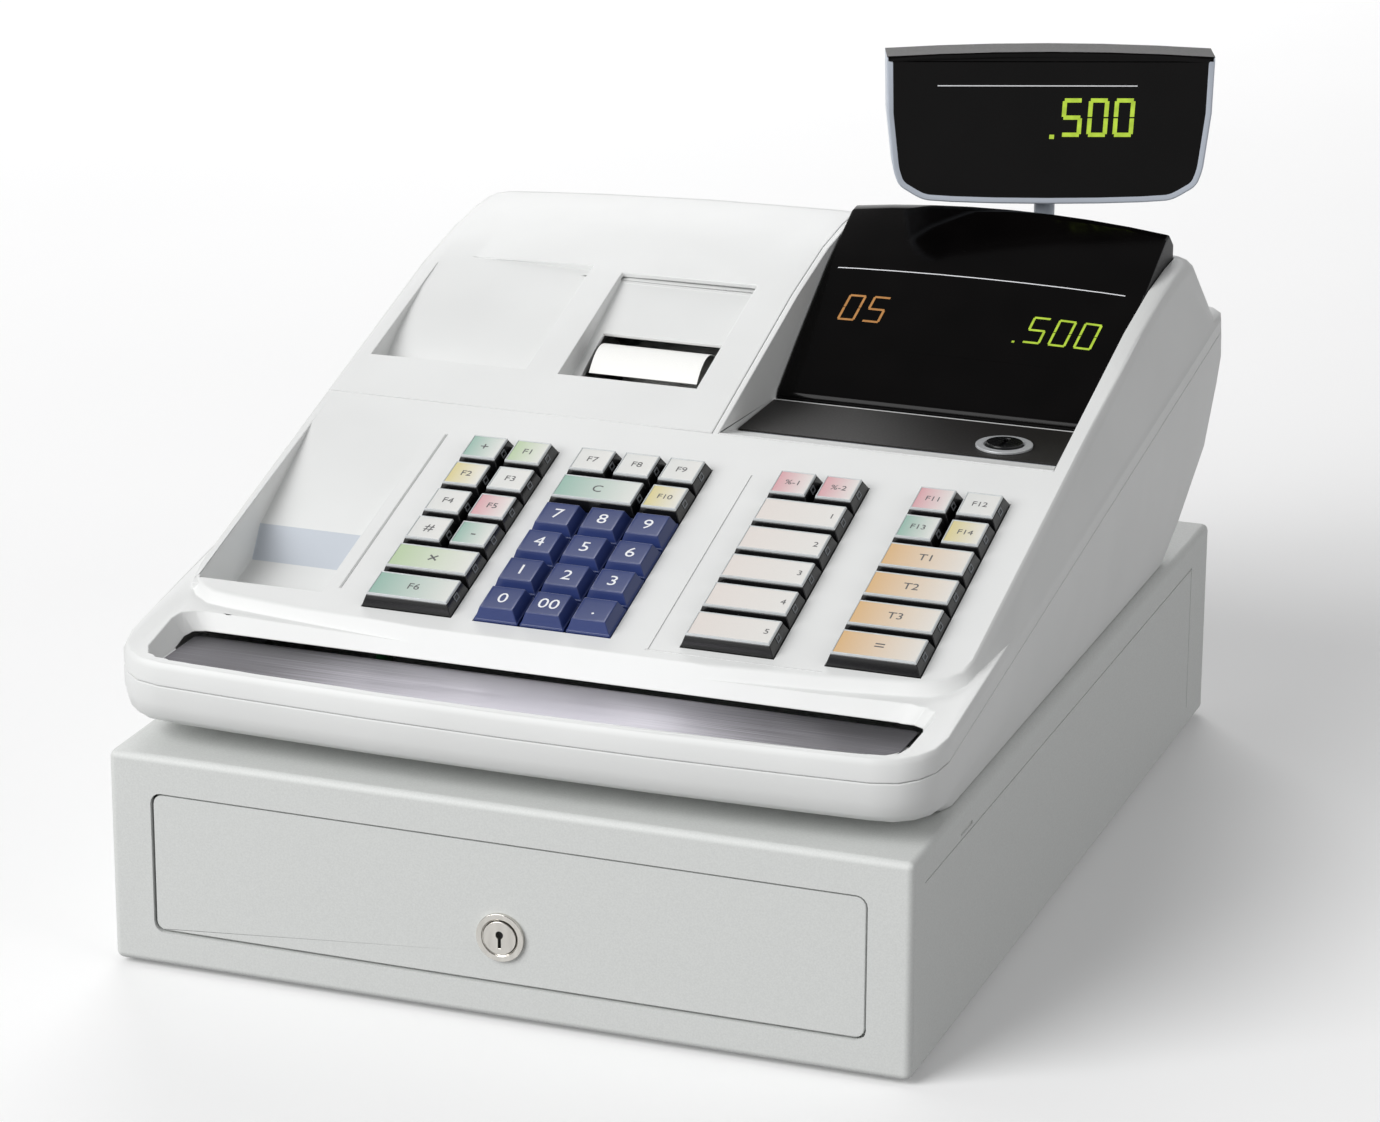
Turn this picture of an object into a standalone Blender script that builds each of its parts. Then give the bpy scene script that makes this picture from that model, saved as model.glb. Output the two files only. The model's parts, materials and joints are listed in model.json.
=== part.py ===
"""Electronic cash register on a steel cash drawer cabinet.

Lengths are written in millimetres through MM. X runs to the operator's right, Y away from the
operator and Z up; the origin is the middle of the footprint, on the surface that it stands on.
A "depth" is a distance behind the cabinet's front face, and becomes a Y by way of y_at().
"""

import math

import bmesh
import bpy
from mathutils import Matrix, Vector

MM = 0.001
GAP = 0.3                       # clearance between pieces that touch

# Driving sizes
CABINET_HALF_WIDTH = 165.0
CABINET_DEPTH = 430.0
CABINET_TOP = 90.0
FOOT_HEIGHT = 2.0
SHEET = 1.5                     # steel of the cabinet and of the drawer
CASE_REAR = 437.0               # the case's rear shoulder, the rearmost point of the register
LOCK_PROUD = 1.2                # the lock plug stands in front of the cabinet's face
CENTRE_DEPTH = (CASE_REAR - LOCK_PROUD) / 2

# Drawer
OPENING_HALF_WIDTH = 147.3
OPENING_LOW = 16.0
OPENING_HIGH = 74.6
DRAWER_LOW = 18.2
DRAWER_LENGTH = 400.0
LOCK_HEIGHT = 36.0
PLUG_RADIUS = 6.8

# Case
CASE_HALF_WIDTH = 169.0         # at the ridge that runs round the case
RIDGE_FRONT = 122.5             # ridge height at depth 0, and its rise to the rear
RIDGE_SLOPE = 0.154
PART_DROP = 6.5                 # the parting line lies this far below the ridge
WALL = 2.5
PALM_FLOOR = 121.6
INLET_X = 118.0                 # the mains inlet, low in the rear face

# Keyboard plane: a tilted plane through (depth 200, height 178)
PLATE_DEPTH = 200.0
PLATE_HEIGHT = 178.0
PLATE_TILT = math.radians(16.6)
PLATE_HALF_WIDTH = 163.0
PLATE_FRONT = 54.5              # depth of the plate's front edge at the middle; it bows by PLATE_BOW
PLATE_BOW = 10.0
TOP_REAR = 392.0                # where the top turns down to the rear face
CROWN_START = 206.0
CROWN = 6.5                     # rise of the top's middle over its sides, at the rear

# Keys
PITCH_X = 19.3
PITCH_Y = 20.0
KEY_TOP = 5.5
KEY_TRAVEL = 3.5
KEY_BASE = (9.2, 9.45)          # half width and half length of a single key's skirt
KEY_CROWN = (7.2, 7.5)          # the same of its top face
ROW_ONE = -30.5                 # middle of the rear row, along the plate from its reference point
BOARD_DROP = 13.0

# Printer and its cover
COVER_RIGHT = 10.0
COVER_FRONT = 5.7               # along the plate
SPLIT_DEPTH = 205.0
SPLIT_HEIGHT = 168.0
SPLIT_SLOPE = 0.164
COVER_HINGE = (415.0, 202.6)    # depth and height of the cover's hinge line
ROLL_RADIUS = 31.0
ROLL_WIDTH = 57.0
ROLL_AXIS = (322.0, 148.0)
JOURNAL_X = -112.0
RECEIPT_X = -37.0

# Displays
WELL_LEFT = 13.0
WELL_RIGHT = 155.4
MODE_AXIS = (124.1, 241.6)
MODE_RADIUS = 7.6
PANEL_HEIGHT = 175.2
MAST_AXIS = (93.0, 399.5)
MAST_RADIUS = 4.5
MAST_BOTTOM = 138.0
HEAD_BOTTOM = 240.6
HEAD_YAW = math.radians(21.0)

COLOURS = {
    "cabinet_paint": ((0.66, 0.67, 0.65), 0.55, 0.0),
    "case_plastic": ((0.86, 0.87, 0.86), 0.5, 0.0),
    "steel": ((0.55, 0.55, 0.56), 0.35, 1.0),
    "black_plastic": ((0.02, 0.02, 0.022), 0.4, 0.0),
    "gloss_black": ((0.005, 0.005, 0.006), 0.06, 0.0),
    "blue_plastic": ((0.02, 0.04, 0.16), 0.35, 0.0),
    "silver_label": ((0.72, 0.73, 0.70), 0.3, 0.0),
    "paper": ((0.88, 0.88, 0.86), 0.8, 0.0),
    "board": ((0.02, 0.16, 0.06), 0.5, 0.0),
    "tray_plastic": ((0.08, 0.08, 0.085), 0.5, 0.0),
    "grey_plastic": ((0.55, 0.58, 0.62), 0.45, 0.0),
}


# ---------------------------------------------------------------------------------------------
# Scene, materials and placing
# ---------------------------------------------------------------------------------------------

def clear_scene():
    for obj in list(bpy.data.objects):
        bpy.data.objects.remove(obj, do_unlink=True)


def new_collection(name):
    collection = bpy.data.collections.new(name)
    bpy.context.scene.collection.children.link(collection)
    return collection


def material(name):
    found = bpy.data.materials.get(name)
    if found:
        return found
    colour, roughness, metallic = COLOURS[name]
    made = bpy.data.materials.new(name)
    made.use_nodes = True
    shader = made.node_tree.nodes["Principled BSDF"]
    shader.inputs["Base Color"].default_value = (*colour, 1.0)
    shader.inputs["Roughness"].default_value = roughness
    shader.inputs["Metallic"].default_value = metallic
    return made


def y_at(depth):
    """World Y in millimetres of a depth behind the cabinet's front face."""
    return depth - CENTRE_DEPTH


def place(x, depth, height):
    return Vector((x, y_at(depth), height)) * MM


def plate_frame(x, along, above):
    """Matrix at a point of the keyboard plane: Y runs up the slope and Z out of the plate."""
    origin = Vector((0.0, PLATE_DEPTH, PLATE_HEIGHT))
    slope = Vector((0.0, math.cos(PLATE_TILT), math.sin(PLATE_TILT)))
    normal = Vector((0.0, -math.sin(PLATE_TILT), math.cos(PLATE_TILT)))
    point = origin + Vector((x, 0.0, 0.0)) + slope * along + normal * above
    return Matrix.Translation(place(*point)) @ Matrix.Rotation(PLATE_TILT, 4, "X")


def add_object(name, mesh, collection, look=None):
    obj = bpy.data.objects.new(name, mesh)
    collection.objects.link(obj)
    if look:
        mesh.materials.clear()
        mesh.materials.append(material(look))
    if collection is CUTTERS:
        obj.hide_render = True
        obj.display_type = "WIRE"
    return obj


def to_mesh(name, bm):
    bmesh.ops.recalc_face_normals(bm, faces=bm.faces)
    mesh = bpy.data.meshes.new(name)
    bm.to_mesh(mesh)
    bm.free()
    return mesh


# ---------------------------------------------------------------------------------------------
# Shapes
# ---------------------------------------------------------------------------------------------

def box(name, low, high, collection, look=None, bevel=0.0, segments=2):
    """A block between two corners (x, depth, height), with its outer edges rounded."""
    bm = bmesh.new()
    bmesh.ops.create_cube(bm, size=1.0)
    centre = [(a + b) / 2 for a, b in zip(low, high)]
    size = [(b - a) * MM for a, b in zip(low, high)]
    bmesh.ops.scale(bm, vec=size, verts=bm.verts)
    if bevel:
        bmesh.ops.bevel(bm, geom=bm.edges[:], offset=bevel * MM, segments=segments,
                        profile=0.5, affect="EDGES")
    bmesh.ops.translate(bm, vec=place(*centre), verts=bm.verts)
    return add_object(name, to_mesh(name, bm), collection, look)


def plate_box(name, low, high, collection):
    """A block in the keyboard plane's own axes: x, along the slope, above the plate."""
    centre = [(a + b) / 2 for a, b in zip(low, high)]
    bm = bmesh.new()
    bmesh.ops.create_cube(bm, size=1.0)
    bmesh.ops.scale(bm, vec=[(b - a) * MM for a, b in zip(low, high)], verts=bm.verts)
    bmesh.ops.transform(bm, matrix=plate_frame(*centre), verts=bm.verts)
    return add_object(name, to_mesh(name, bm), collection)


def cylinder(name, centre, radius, length, axis, collection, look=None, sides=32, origin=None):
    """A cylinder centred on (x, depth, height) along X, Y or Z, its object's origin optional."""
    turn = {"X": Matrix.Rotation(math.pi / 2, 4, "Y"),
            "Y": Matrix.Rotation(math.pi / 2, 4, "X"),
            "Z": Matrix.Identity(4)}[axis]
    bm = bmesh.new()
    bmesh.ops.create_cone(bm, cap_ends=True, segments=sides, radius1=radius * MM,
                          radius2=radius * MM, depth=length * MM)
    bmesh.ops.transform(bm, matrix=turn, verts=bm.verts)
    base = place(*(origin or (0.0, CENTRE_DEPTH, 0.0)))
    bmesh.ops.translate(bm, vec=place(*centre) - base, verts=bm.verts)
    obj = add_object(name, to_mesh(name, bm), collection, look)
    obj.location = base
    return obj


def prism(name, outline, low_x, high_x, collection, look=None):
    """A side outline of (depth, height) points, extruded across from low_x to high_x."""
    bm = bmesh.new()
    loop = [bm.verts.new(place(low_x, depth, height)) for depth, height in outline]
    face = bm.faces.new(loop)
    grown = bmesh.ops.extrude_face_region(bm, geom=[face])["geom"]
    moved = [item for item in grown if isinstance(item, bmesh.types.BMVert)]
    bmesh.ops.translate(bm, vec=((high_x - low_x) * MM, 0, 0), verts=moved)
    return add_object(name, to_mesh(name, bm), collection, look)


def plate_prism(name, outline, low_x, high_x, collection):
    """As prism, with the outline given along the slope and above the plate."""
    slope = Vector((math.cos(PLATE_TILT), math.sin(PLATE_TILT)))
    normal = Vector((-math.sin(PLATE_TILT), math.cos(PLATE_TILT)))
    start = Vector((PLATE_DEPTH, PLATE_HEIGHT))
    points = [start + slope * along + normal * above for along, above in outline]
    return prism(name, [tuple(point) for point in points], low_x, high_x, collection)


def set_origin(obj, *point):
    """Move an object's origin to (x, depth, height) and leave its shape where it is."""
    origin = place(*point)
    obj.data.transform(Matrix.Translation(-origin))
    obj.location = origin


def boolean(target, tool, operation):
    modifier = target.modifiers.new(tool.name, "BOOLEAN")
    modifier.operation = operation
    modifier.object = tool
    modifier.solver = "EXACT"


def cut(target, *tools):
    for tool in tools:
        boolean(target, tool, "DIFFERENCE")


def join(target, *tools):
    for tool in tools:
        boolean(target, tool, "UNION")


# Columns across the case, close together where its corners turn, and rows from front to rear
HALF_COLUMNS = (0.0, 0.35, 0.68, 0.86, 0.92, 0.96, 0.987, 1.0)
COLUMNS = [-value for value in HALF_COLUMNS[:0:-1]] + list(HALF_COLUMNS)
ROWS = (0.0, 0.2, 0.45, 0.6, 0.75, 0.87, 0.95, 1.0)


def section(half_width, front, rear, height, bow=0.0, front_radius=20.0, rear_radius=12.0):
    """One level of a lofted case: a rounded plan outline whose height follows x and depth."""

    def corner(x, radius):
        over = abs(x) - (half_width - radius)
        return radius - math.sqrt(max(radius * radius - over * over, 0.0)) if over > 0 else 0.0

    def point(column, row):
        x = half_width * column
        near = front + bow * column * column + corner(x, front_radius)
        far = rear - corner(x, rear_radius)
        depth = near + (far - near) * row
        return place(x, depth, height(x, depth))

    return point


def loft(name, levels, collection, look=None):
    """A closed body through levels from top to bottom; the first and the last are its caps."""
    bm = bmesh.new()
    last_column, last_row = len(COLUMNS) - 1, len(ROWS) - 1
    rim = ([(i, 0) for i in range(last_column)] + [(last_column, j) for j in range(last_row)]
           + [(i, last_row) for i in range(last_column, 0, -1)]
           + [(0, j) for j in range(last_row, 0, -1)])
    rings = []
    for level in levels:
        capped = level is levels[0] or level is levels[-1]
        wanted = ([(i, j) for i in range(len(COLUMNS)) for j in range(len(ROWS))]
                  if capped else rim)
        verts = {key: bm.verts.new(level(COLUMNS[key[0]], ROWS[key[1]])) for key in wanted}
        if capped:
            for i in range(last_column):
                for j in range(last_row):
                    bm.faces.new([verts[key] for key in
                                  ((i, j), (i + 1, j), (i + 1, j + 1), (i, j + 1))])
        rings.append([verts[key] for key in rim])
    for upper, lower in zip(rings, rings[1:]):
        for i in range(len(rim)):
            k = (i + 1) % len(rim)
            bm.faces.new((upper[i], upper[k], lower[k], lower[i]))
    return add_object(name, to_mesh(name, bm), collection, look)


# ---------------------------------------------------------------------------------------------
# Heights of the case's surfaces
# ---------------------------------------------------------------------------------------------

def plate_height(depth):
    return PLATE_HEIGHT + math.tan(PLATE_TILT) * (depth - PLATE_DEPTH)


def top_height(x, depth):
    """The case's top: flat to depth 300, then easing level, and crowned across at the rear."""
    flat_end, level_run = 300.0, 96.0
    height = plate_height(min(depth, flat_end))
    if depth > flat_end:
        run = min(depth - flat_end, level_run)
        height += math.tan(PLATE_TILT) * (run - run * run / (2 * level_run))
    rise = min(max((depth - CROWN_START) / 150.0, 0.0), 1.0)
    return height + CROWN * rise * (1.0 - (x / PLATE_HALF_WIDTH) ** 2)


def ridge_height(depth):
    return RIDGE_FRONT + RIDGE_SLOPE * depth


def parting_height(depth):
    return ridge_height(depth) - PART_DROP


def case_top_levels(inset, top_drop, bottom_drop, front=None):
    """Levels of the upper case's skin, or of the hollow under it when inset is over zero."""
    plate_front = PLATE_FRONT if front is None else front
    lip_front = 2.6 if front is None else front
    bow = PLATE_BOW if front is None else 0.0
    lip_bow = 5.0 if front is None else 0.0

    def rounded(drop):
        return lambda x, depth: top_height(x, depth) - top_drop - drop

    return [
        section(PLATE_HALF_WIDTH - 2 - inset, plate_front + 2, TOP_REAR - 6 - inset, rounded(0.0),
                bow, 14, 8),
        section(PLATE_HALF_WIDTH - 0.6 - inset, plate_front + 0.4, TOP_REAR - inset, rounded(0.9),
                bow, 16, 9),
        section(PLATE_HALF_WIDTH + 1 - inset, plate_front - 1.5, TOP_REAR + 5.5 - inset,
                rounded(4.6), bow, 17, 10),
        section(CASE_HALF_WIDTH - 1.2 - inset, lip_front + 1.6, CASE_REAR - 14 - inset,
                lambda x, depth: ridge_height(depth) + 2.6 - top_drop * 0.5, lip_bow, 21, 13),
        section(CASE_HALF_WIDTH - inset, lip_front, CASE_REAR - 3 - inset,
                lambda x, depth: ridge_height(depth) - top_drop * 0.5, lip_bow, 22, 14),
        section(CASE_HALF_WIDTH - 0.3 - inset, lip_front - 0.3, CASE_REAR - 1 - inset,
                lambda x, depth: parting_height(depth) + GAP / 2 - bottom_drop, lip_bow, 22, 14),
    ]


# ---------------------------------------------------------------------------------------------
# Cabinet and drawer
# ---------------------------------------------------------------------------------------------

def make_cabinet():
    half, top = CABINET_HALF_WIDTH, CABINET_TOP
    cabinet = box("drawer_cabinet", (-half, 0, FOOT_HEIGHT), (half, CABINET_DEPTH, top), PARTS,
                  "cabinet_paint", bevel=3.0, segments=3)
    inside = box("cabinet_inside", (-half + SHEET, 3, FOOT_HEIGHT + SHEET),
                 (half - SHEET, CABINET_DEPTH - 2.5, top - SHEET), CUTTERS)
    mouth = box("drawer_mouth", (-OPENING_HALF_WIDTH, -10, OPENING_LOW),
                (OPENING_HALF_WIDTH, 10, OPENING_HIGH), CUTTERS)
    round_upright_edges(mouth, 4.5, "Y")
    cut(cabinet, inside, mouth)
    for side in (-1, 1):
        near, far = sorted((side * 134.0, side * (half - SHEET / 2)))
        join(cabinet, box(f"runner_{side}", (near, 4.2, OPENING_LOW - 1),
                          (far, 420, DRAWER_LOW - GAP), CUTTERS))
        for depth in (38.0, 392.0):
            join(cabinet, cylinder(f"foot_{side}_{depth:.0f}", (side * 138, depth, 1.6), 9.0, 3.2,
                                   "Z", CUTTERS, sides=20))
        low, high = sorted((side * (half - 0.7), side * (half + 5)))
        cut(cabinet, box(f"lid_seam_{side}", (low, 14, 77.2), (high, 400, 78.0), CUTTERS),
            box(f"lid_slot_{side}", (low, 58, 79.2), (high, 73, 80.8), CUTTERS),
            box(f"rear_seam_{side}", (low, 400, 12), (high, 400.8, 78.0), CUTTERS))
    cut(cabinet, cylinder("cable_hole", (60, 330, 89), 9.0, 8.0, "Z", CUTTERS, sides=20))
    return cabinet


def round_upright_edges(obj, radius, axis):
    """Round the four edges of a block that run along one axis."""
    index = "XYZ".index(axis)
    bm = bmesh.new()
    bm.from_mesh(obj.data)
    edges = [edge for edge in bm.edges
             if abs((edge.verts[0].co - edge.verts[1].co).normalized()[index]) > 0.99]
    bmesh.ops.bevel(bm, geom=edges, offset=radius * MM, segments=4, profile=0.5, affect="EDGES")
    bm.to_mesh(obj.data)
    bm.free()


def make_drawer():
    half = OPENING_HALF_WIDTH - 0.9
    front = box("cash_drawer", (-half, 0.7, OPENING_LOW + 0.9), (half, 3.6, OPENING_HIGH - 0.9),
                PARTS, "cabinet_paint")
    round_upright_edges(front, 3.8, "Y")
    body = box("drawer_body", (-143, 3.2, DRAWER_LOW), (143, DRAWER_LENGTH, 68), CUTTERS)
    hollow = box("drawer_hollow", (-143 + SHEET, 4.6, DRAWER_LOW + SHEET),
                 (143 - SHEET, DRAWER_LENGTH - SHEET, 80), CUTTERS)
    barrel = cylinder("lock_barrel", (0, 13, LOCK_HEIGHT), 10.0, 20.0, "Y", CUTTERS, sides=24)
    bore = cylinder("lock_bore", (0, 10, LOCK_HEIGHT), PLUG_RADIUS + GAP, 40.0, "Y", CUTTERS)
    join(front, body)
    cut(front, hollow)
    join(front, barrel)
    cut(front, bore)
    return front


def make_lock_plug():
    return cylinder("drawer_lock_plug", (0, 10.4 - LOCK_PROUD, LOCK_HEIGHT), PLUG_RADIUS, 20.8,
                    "Y", PARTS, "steel", sides=28, origin=(0, 0, LOCK_HEIGHT))


def make_coin_tray():
    """Moulded insert: six coin cups across the front and three long note bays behind them."""
    low = DRAWER_LOW + SHEET + GAP
    tray = box("coin_tray", (-141, 25, low), (141, DRAWER_LENGTH - 3, 60), PARTS, "tray_plastic")
    for number in range(6):
        left = -139.0 + number * 46.6
        cup = box(f"coin_cup_{number}", (left, 28, low + 4), (left + 44.6, 140, 70), CUTTERS)
        round_upright_edges(cup, 6.0, "Z")
        cut(tray, cup)
    for number in range(3):
        left = -139.0 + number * 93.2
        cut(tray, box(f"note_bay_{number}", (left, 146, low + 2), (left + 91.2, 350, 70), CUTTERS))
    cut(tray, box("clip_bay", (-139, 349, low + 14), (139, 394.5, 70), CUTTERS))
    return tray


def make_bill_clips():
    """Three sprung arms on one shaft; each rests on the floor of its note bay."""
    shaft_at = (0.0, 376.0, 54.0)
    clips = cylinder("bill_clips", shaft_at, 3.0, 270.0, "X", PARTS, "steel", sides=12,
                     origin=shaft_at)
    arm = [(378, 55.4), (378, 52.6), (262, 22.4), (248, 26.0), (248, 27.8), (261, 24.8)]
    for number in range(3):
        middle = -93.4 + number * 93.2
        join(clips, prism(f"clip_arm_{number}", arm, middle - 9, middle + 9, CUTTERS))
    return clips


# ---------------------------------------------------------------------------------------------
# Case
# ---------------------------------------------------------------------------------------------

def rising(front, front_height, rear, rear_height):
    slope = (rear_height - front_height) / (rear - front)
    return lambda x, depth: front_height + slope * (depth - front)


def make_lower_case():
    def level(half, front, rear, low, high, corner, bow, rear_corner=14.0):
        return section(half, front, rear, rising(front, low, rear, high), bow, corner, rear_corner)

    outside = [
        section(CASE_HALF_WIDTH - 0.3, 2.1, CASE_REAR - 0.6,
                lambda x, depth: parting_height(depth) - GAP / 2, 5, 22, 14),
        level(CASE_HALF_WIDTH - 0.2, 2.2, CASE_REAR, 109, 172, 22, 5),
        level(CASE_HALF_WIDTH - 1.0, 4.2, CASE_REAR - 3, 103, 160, 21, 5),
        level(CASE_HALF_WIDTH - 3.0, 8.5, 424, 100, 133, 19, 4),
        level(CASE_HALF_WIDTH - 6.5, 30, 395, 98, 104, 14, 2),
        level(160.5, 50, 373, CABINET_TOP + GAP, CABINET_TOP + GAP, 10, 0, 10),
    ]
    inside = [
        section(CASE_HALF_WIDTH - 3.3, 5.6, CASE_REAR - 3.6,
                lambda x, depth: parting_height(depth) + 6, 5, 19, 11),
        level(CASE_HALF_WIDTH - 3.2, 5.6, CASE_REAR - 3.4, 110, 172, 19, 5, 11),
        level(CASE_HALF_WIDTH - 4.4, 8.0, CASE_REAR - 7, 105.5, 160, 18, 5, 11),
        level(CASE_HALF_WIDTH - 6.5, 13, 420, 103, 135, 16, 4, 11),
        level(157.5, 53, 370, CABINET_TOP + 3, CABINET_TOP + 3, 8, 0, 8),
    ]
    case = loft("lower_case", outside, PARTS, "case_plastic")
    cut(case, loft("lower_hollow", inside, CUTTERS))
    join(case, box("inlet_block", (INLET_X - 14, 372, 122), (INLET_X + 14, 418, 142), CUTTERS))
    cut(case, box("inlet_mouth", (INLET_X - 9.5, 398, 126.5), (INLET_X + 9.5, 440, 137), CUTTERS),
        cylinder("case_cable_hole", (60, 330, 92), 9.0, 12.0, "Z", CUTTERS, sides=20))
    return case


def journal_outline(grow):
    """Side outline of the journal recess: a bulge that rolls down to a step near the front."""
    bulge = [(110.0 - 67.0 * math.sin(angle), -16.0 * (1 - math.cos(angle)))
             for angle in (math.pi / 2 * step / 6 for step in range(7))]
    floor = [(43.0, -18.0), (38.5, -18.0), (35.2, 1.8)]
    outline = [(118.0, 0.5)] + bulge[1:] + floor
    if grow:
        outline = [(112.0, 0.0), (76.0, -6.5), (58.0, -14.0), (45.5, -21.0), (36.0, -21.0),
                   (32.5, 0.0)]
    return outline + [(outline[-1][0], 40.0), (outline[0][0], 40.0)]


def receipt_outline(grow):
    """Side outline of the receipt recess: a ramp down to a step below the paper's window."""
    if grow:
        return [(112.0, 0.0), (47.5, -11.3), (40.5, -16.8), (34.5, -16.8), (32.0, 0.0),
                (32.0, 40.0), (112.0, 40.0)]
    return [(114.0, 0.5), (44.0, -8.5), (39.5, -14.0), (37.5, -14.0), (34.6, 2.2),
            (34.6, 40.0), (114.0, 40.0)]


def pocket_outline(grow):
    """Side outline of the slip pocket at the left of the keys, or of the pan that holds it."""
    if grow:
        return [(-17.0, -1.2), (-80.0, -14.8), (-92.0, -24.8), (-137.5, -24.8), (-137.5, -1.2)]
    return [(-14.2, 1.2), (-78.0, -12.0), (-90.0, -22.0), (-132.0, -22.0), (-134.7, 2.0),
            (-134.7, 40.0), (-14.2, 40.0)]


WELL = [(205.4, 179.4), (226.0, PANEL_HEIGHT - 0.2), (275.3, PANEL_HEIGHT - 0.2), (275.3, 168.0),
        (300.0, 168.0), (387.0, 212.0), (387.0, 260.0), (205.4, 260.0)]
WELL_SKIN = [(202.0, 176.6), (225.0, 172.3), (272.6, 172.3), (272.6, 165.3), (300.8, 165.3),
             (389.6, 210.2), (389.6, 260.0), (202.0, 260.0)]


def make_hollow(name, *skins):
    """The space under the upper case's skin, less the material kept round its recesses."""
    hollow = loft(name, case_top_levels(WALL, WALL, 9.0, front=62.0), CUTTERS)
    cut(hollow, *skins)
    return hollow


def cover_region(name, clearance):
    """The block of space that the printer cover takes from the upper case's skin."""
    slope = Vector((math.cos(PLATE_TILT), math.sin(PLATE_TILT)))
    normal = Vector((-math.sin(PLATE_TILT), math.cos(PLATE_TILT)))
    front = Vector((PLATE_DEPTH, PLATE_HEIGHT)) + slope * (COVER_FRONT - clearance)
    below = front - normal * 30.0
    above = front + normal * 60.0
    reach = (SPLIT_HEIGHT - clearance - below.y) / (above.y - below.y)
    start = below + (above - below) * reach
    rear_height = SPLIT_HEIGHT - clearance + SPLIT_SLOPE * (450 - SPLIT_DEPTH)
    outline = [tuple(start), (450.0, rear_height), (450.0, 320.0), tuple(above)]
    return prism(name, outline, -190.0, COVER_RIGHT + clearance, CUTTERS)


def make_upper_case():
    case = loft("upper_case", case_top_levels(0.0, 0.0, 0.0), PARTS, "case_plastic")
    pocket_pan = plate_prism("pocket_pan", pocket_outline(True), -160.9, -102.5, CUTTERS)
    cut(case, make_hollow(
        "upper_hollow",
        prism("well_skin", WELL_SKIN, WELL_LEFT - WALL, WELL_RIGHT + WALL, CUTTERS),
        cylinder("mast_sleeve", (MAST_AXIS[0], MAST_AXIS[1], 200), MAST_RADIUS + 2.6, 60.0, "Z",
                 CUTTERS, sides=24)))
    join(case, pocket_pan)
    palm_bottom = section(152, 9.5, 50.5, lambda x, depth: PALM_FLOOR, 3, 5, 5)
    palm_top = section(163.5, 0.5, 59.5, lambda x, depth: PALM_FLOOR + 18.4, 8, 16, 16)
    cut(case, cover_region("cover_clearance", GAP),
        loft("palm_recess", [palm_top, palm_bottom], CUTTERS),
        plate_prism("slip_pocket", pocket_outline(False), -158.7, -105.2, CUTTERS),
        prism("display_well", WELL, WELL_LEFT, WELL_RIGHT, CUTTERS))
    for number, (left, columns) in enumerate(GROUPS):
        right = left + (columns - 1) * PITCH_X
        cut(case, plate_box(f"key_window_{number}",
                            (left - PITCH_X / 2, ROW_ONE - 5.5 * PITCH_Y, -30),
                            (right + PITCH_X / 2, ROW_ONE + PITCH_Y / 2, 30), CUTTERS))
    cut(case, cylinder("mast_hole", (MAST_AXIS[0], MAST_AXIS[1], 210), MAST_RADIUS + 0.4, 90.0,
                       "Z", CUTTERS),
        cylinder("mode_hole", (*MODE_AXIS, 175), MODE_RADIUS + 0.4, 30.0, "Z", CUTTERS))
    return case


def make_printer_cover():
    cover = loft("printer_cover", case_top_levels(0.0, 0.0, 0.0), PARTS, "case_plastic")
    set_origin(cover, 0.0, *COVER_HINGE)
    cut(cover, make_hollow(
        "cover_hollow",
        plate_prism("journal_skin", journal_outline(True), -157.5, -81.5, CUTTERS),
        plate_prism("receipt_skin", receipt_outline(True), -71.5, -4.5, CUTTERS)))
    region = cover_region("cover_block", 0.0)
    join(region, plate_prism("cover_inside", [(20, -40), (150, -40), (150, 10), (20, 10)],
                             -159.0, 6.0, CUTTERS))
    boolean(cover, region, "INTERSECT")
    cut(cover,
        plate_prism("journal_recess", journal_outline(False), -154.8, -84.0, CUTTERS),
        plate_prism("receipt_recess", receipt_outline(False), -69.0, -7.0, CUTTERS),
        plate_box("paper_window", (-64.5, 46.5, -40), (-9.0, 77.0, 30), CUTTERS))
    return cover


def make_palm_plate():
    """Thin brushed plate that lies on the floor of the palm recess."""
    flat = [section(150.2, 11.0, 50.2, lambda x, depth, h=height: h, 3, 1.5, 1.5)
            for height in (PALM_FLOOR + GAP + 0.8, PALM_FLOOR + GAP)]
    return loft("palm_plate", flat, PARTS, "steel")


# ---------------------------------------------------------------------------------------------
# Inside the case
# ---------------------------------------------------------------------------------------------

def make_printer():
    """Two-station printer: base, side plates, roll spindles and the print head block."""
    floor = CABINET_TOP + 3 + GAP
    unit = box("printer_unit", (-152, 222, floor), (4, 362, floor + 3), PARTS, "grey_plastic")
    for number, x in enumerate((-151.5, -74.5, 1.5)):
        join(unit, box(f"side_plate_{number}", (x - 1.2, 224, floor + 1), (x + 1.2, 360, 156),
                       CUTTERS))
    join(unit, box("head_block", (-152, 226, floor + 1), (4, 262, 152), CUTTERS),
         cylinder("platen", (-74.5, 256, 158), 7.5, 155.0, "X", CUTTERS, sides=16),
         cylinder("spindle", (-74.5, *ROLL_AXIS), 5.0, 154.0, "X", CUTTERS, sides=16))
    return unit


def make_roll(name, x):
    roll = cylinder(name, (x, *ROLL_AXIS), ROLL_RADIUS, ROLL_WIDTH, "X", PARTS, "paper",
                    sides=40, origin=(x, *ROLL_AXIS))
    cut(roll, cylinder(f"{name}_core", (x, *ROLL_AXIS), 6.2, ROLL_WIDTH + 20, "X", CUTTERS,
                       sides=20))
    return roll


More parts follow.
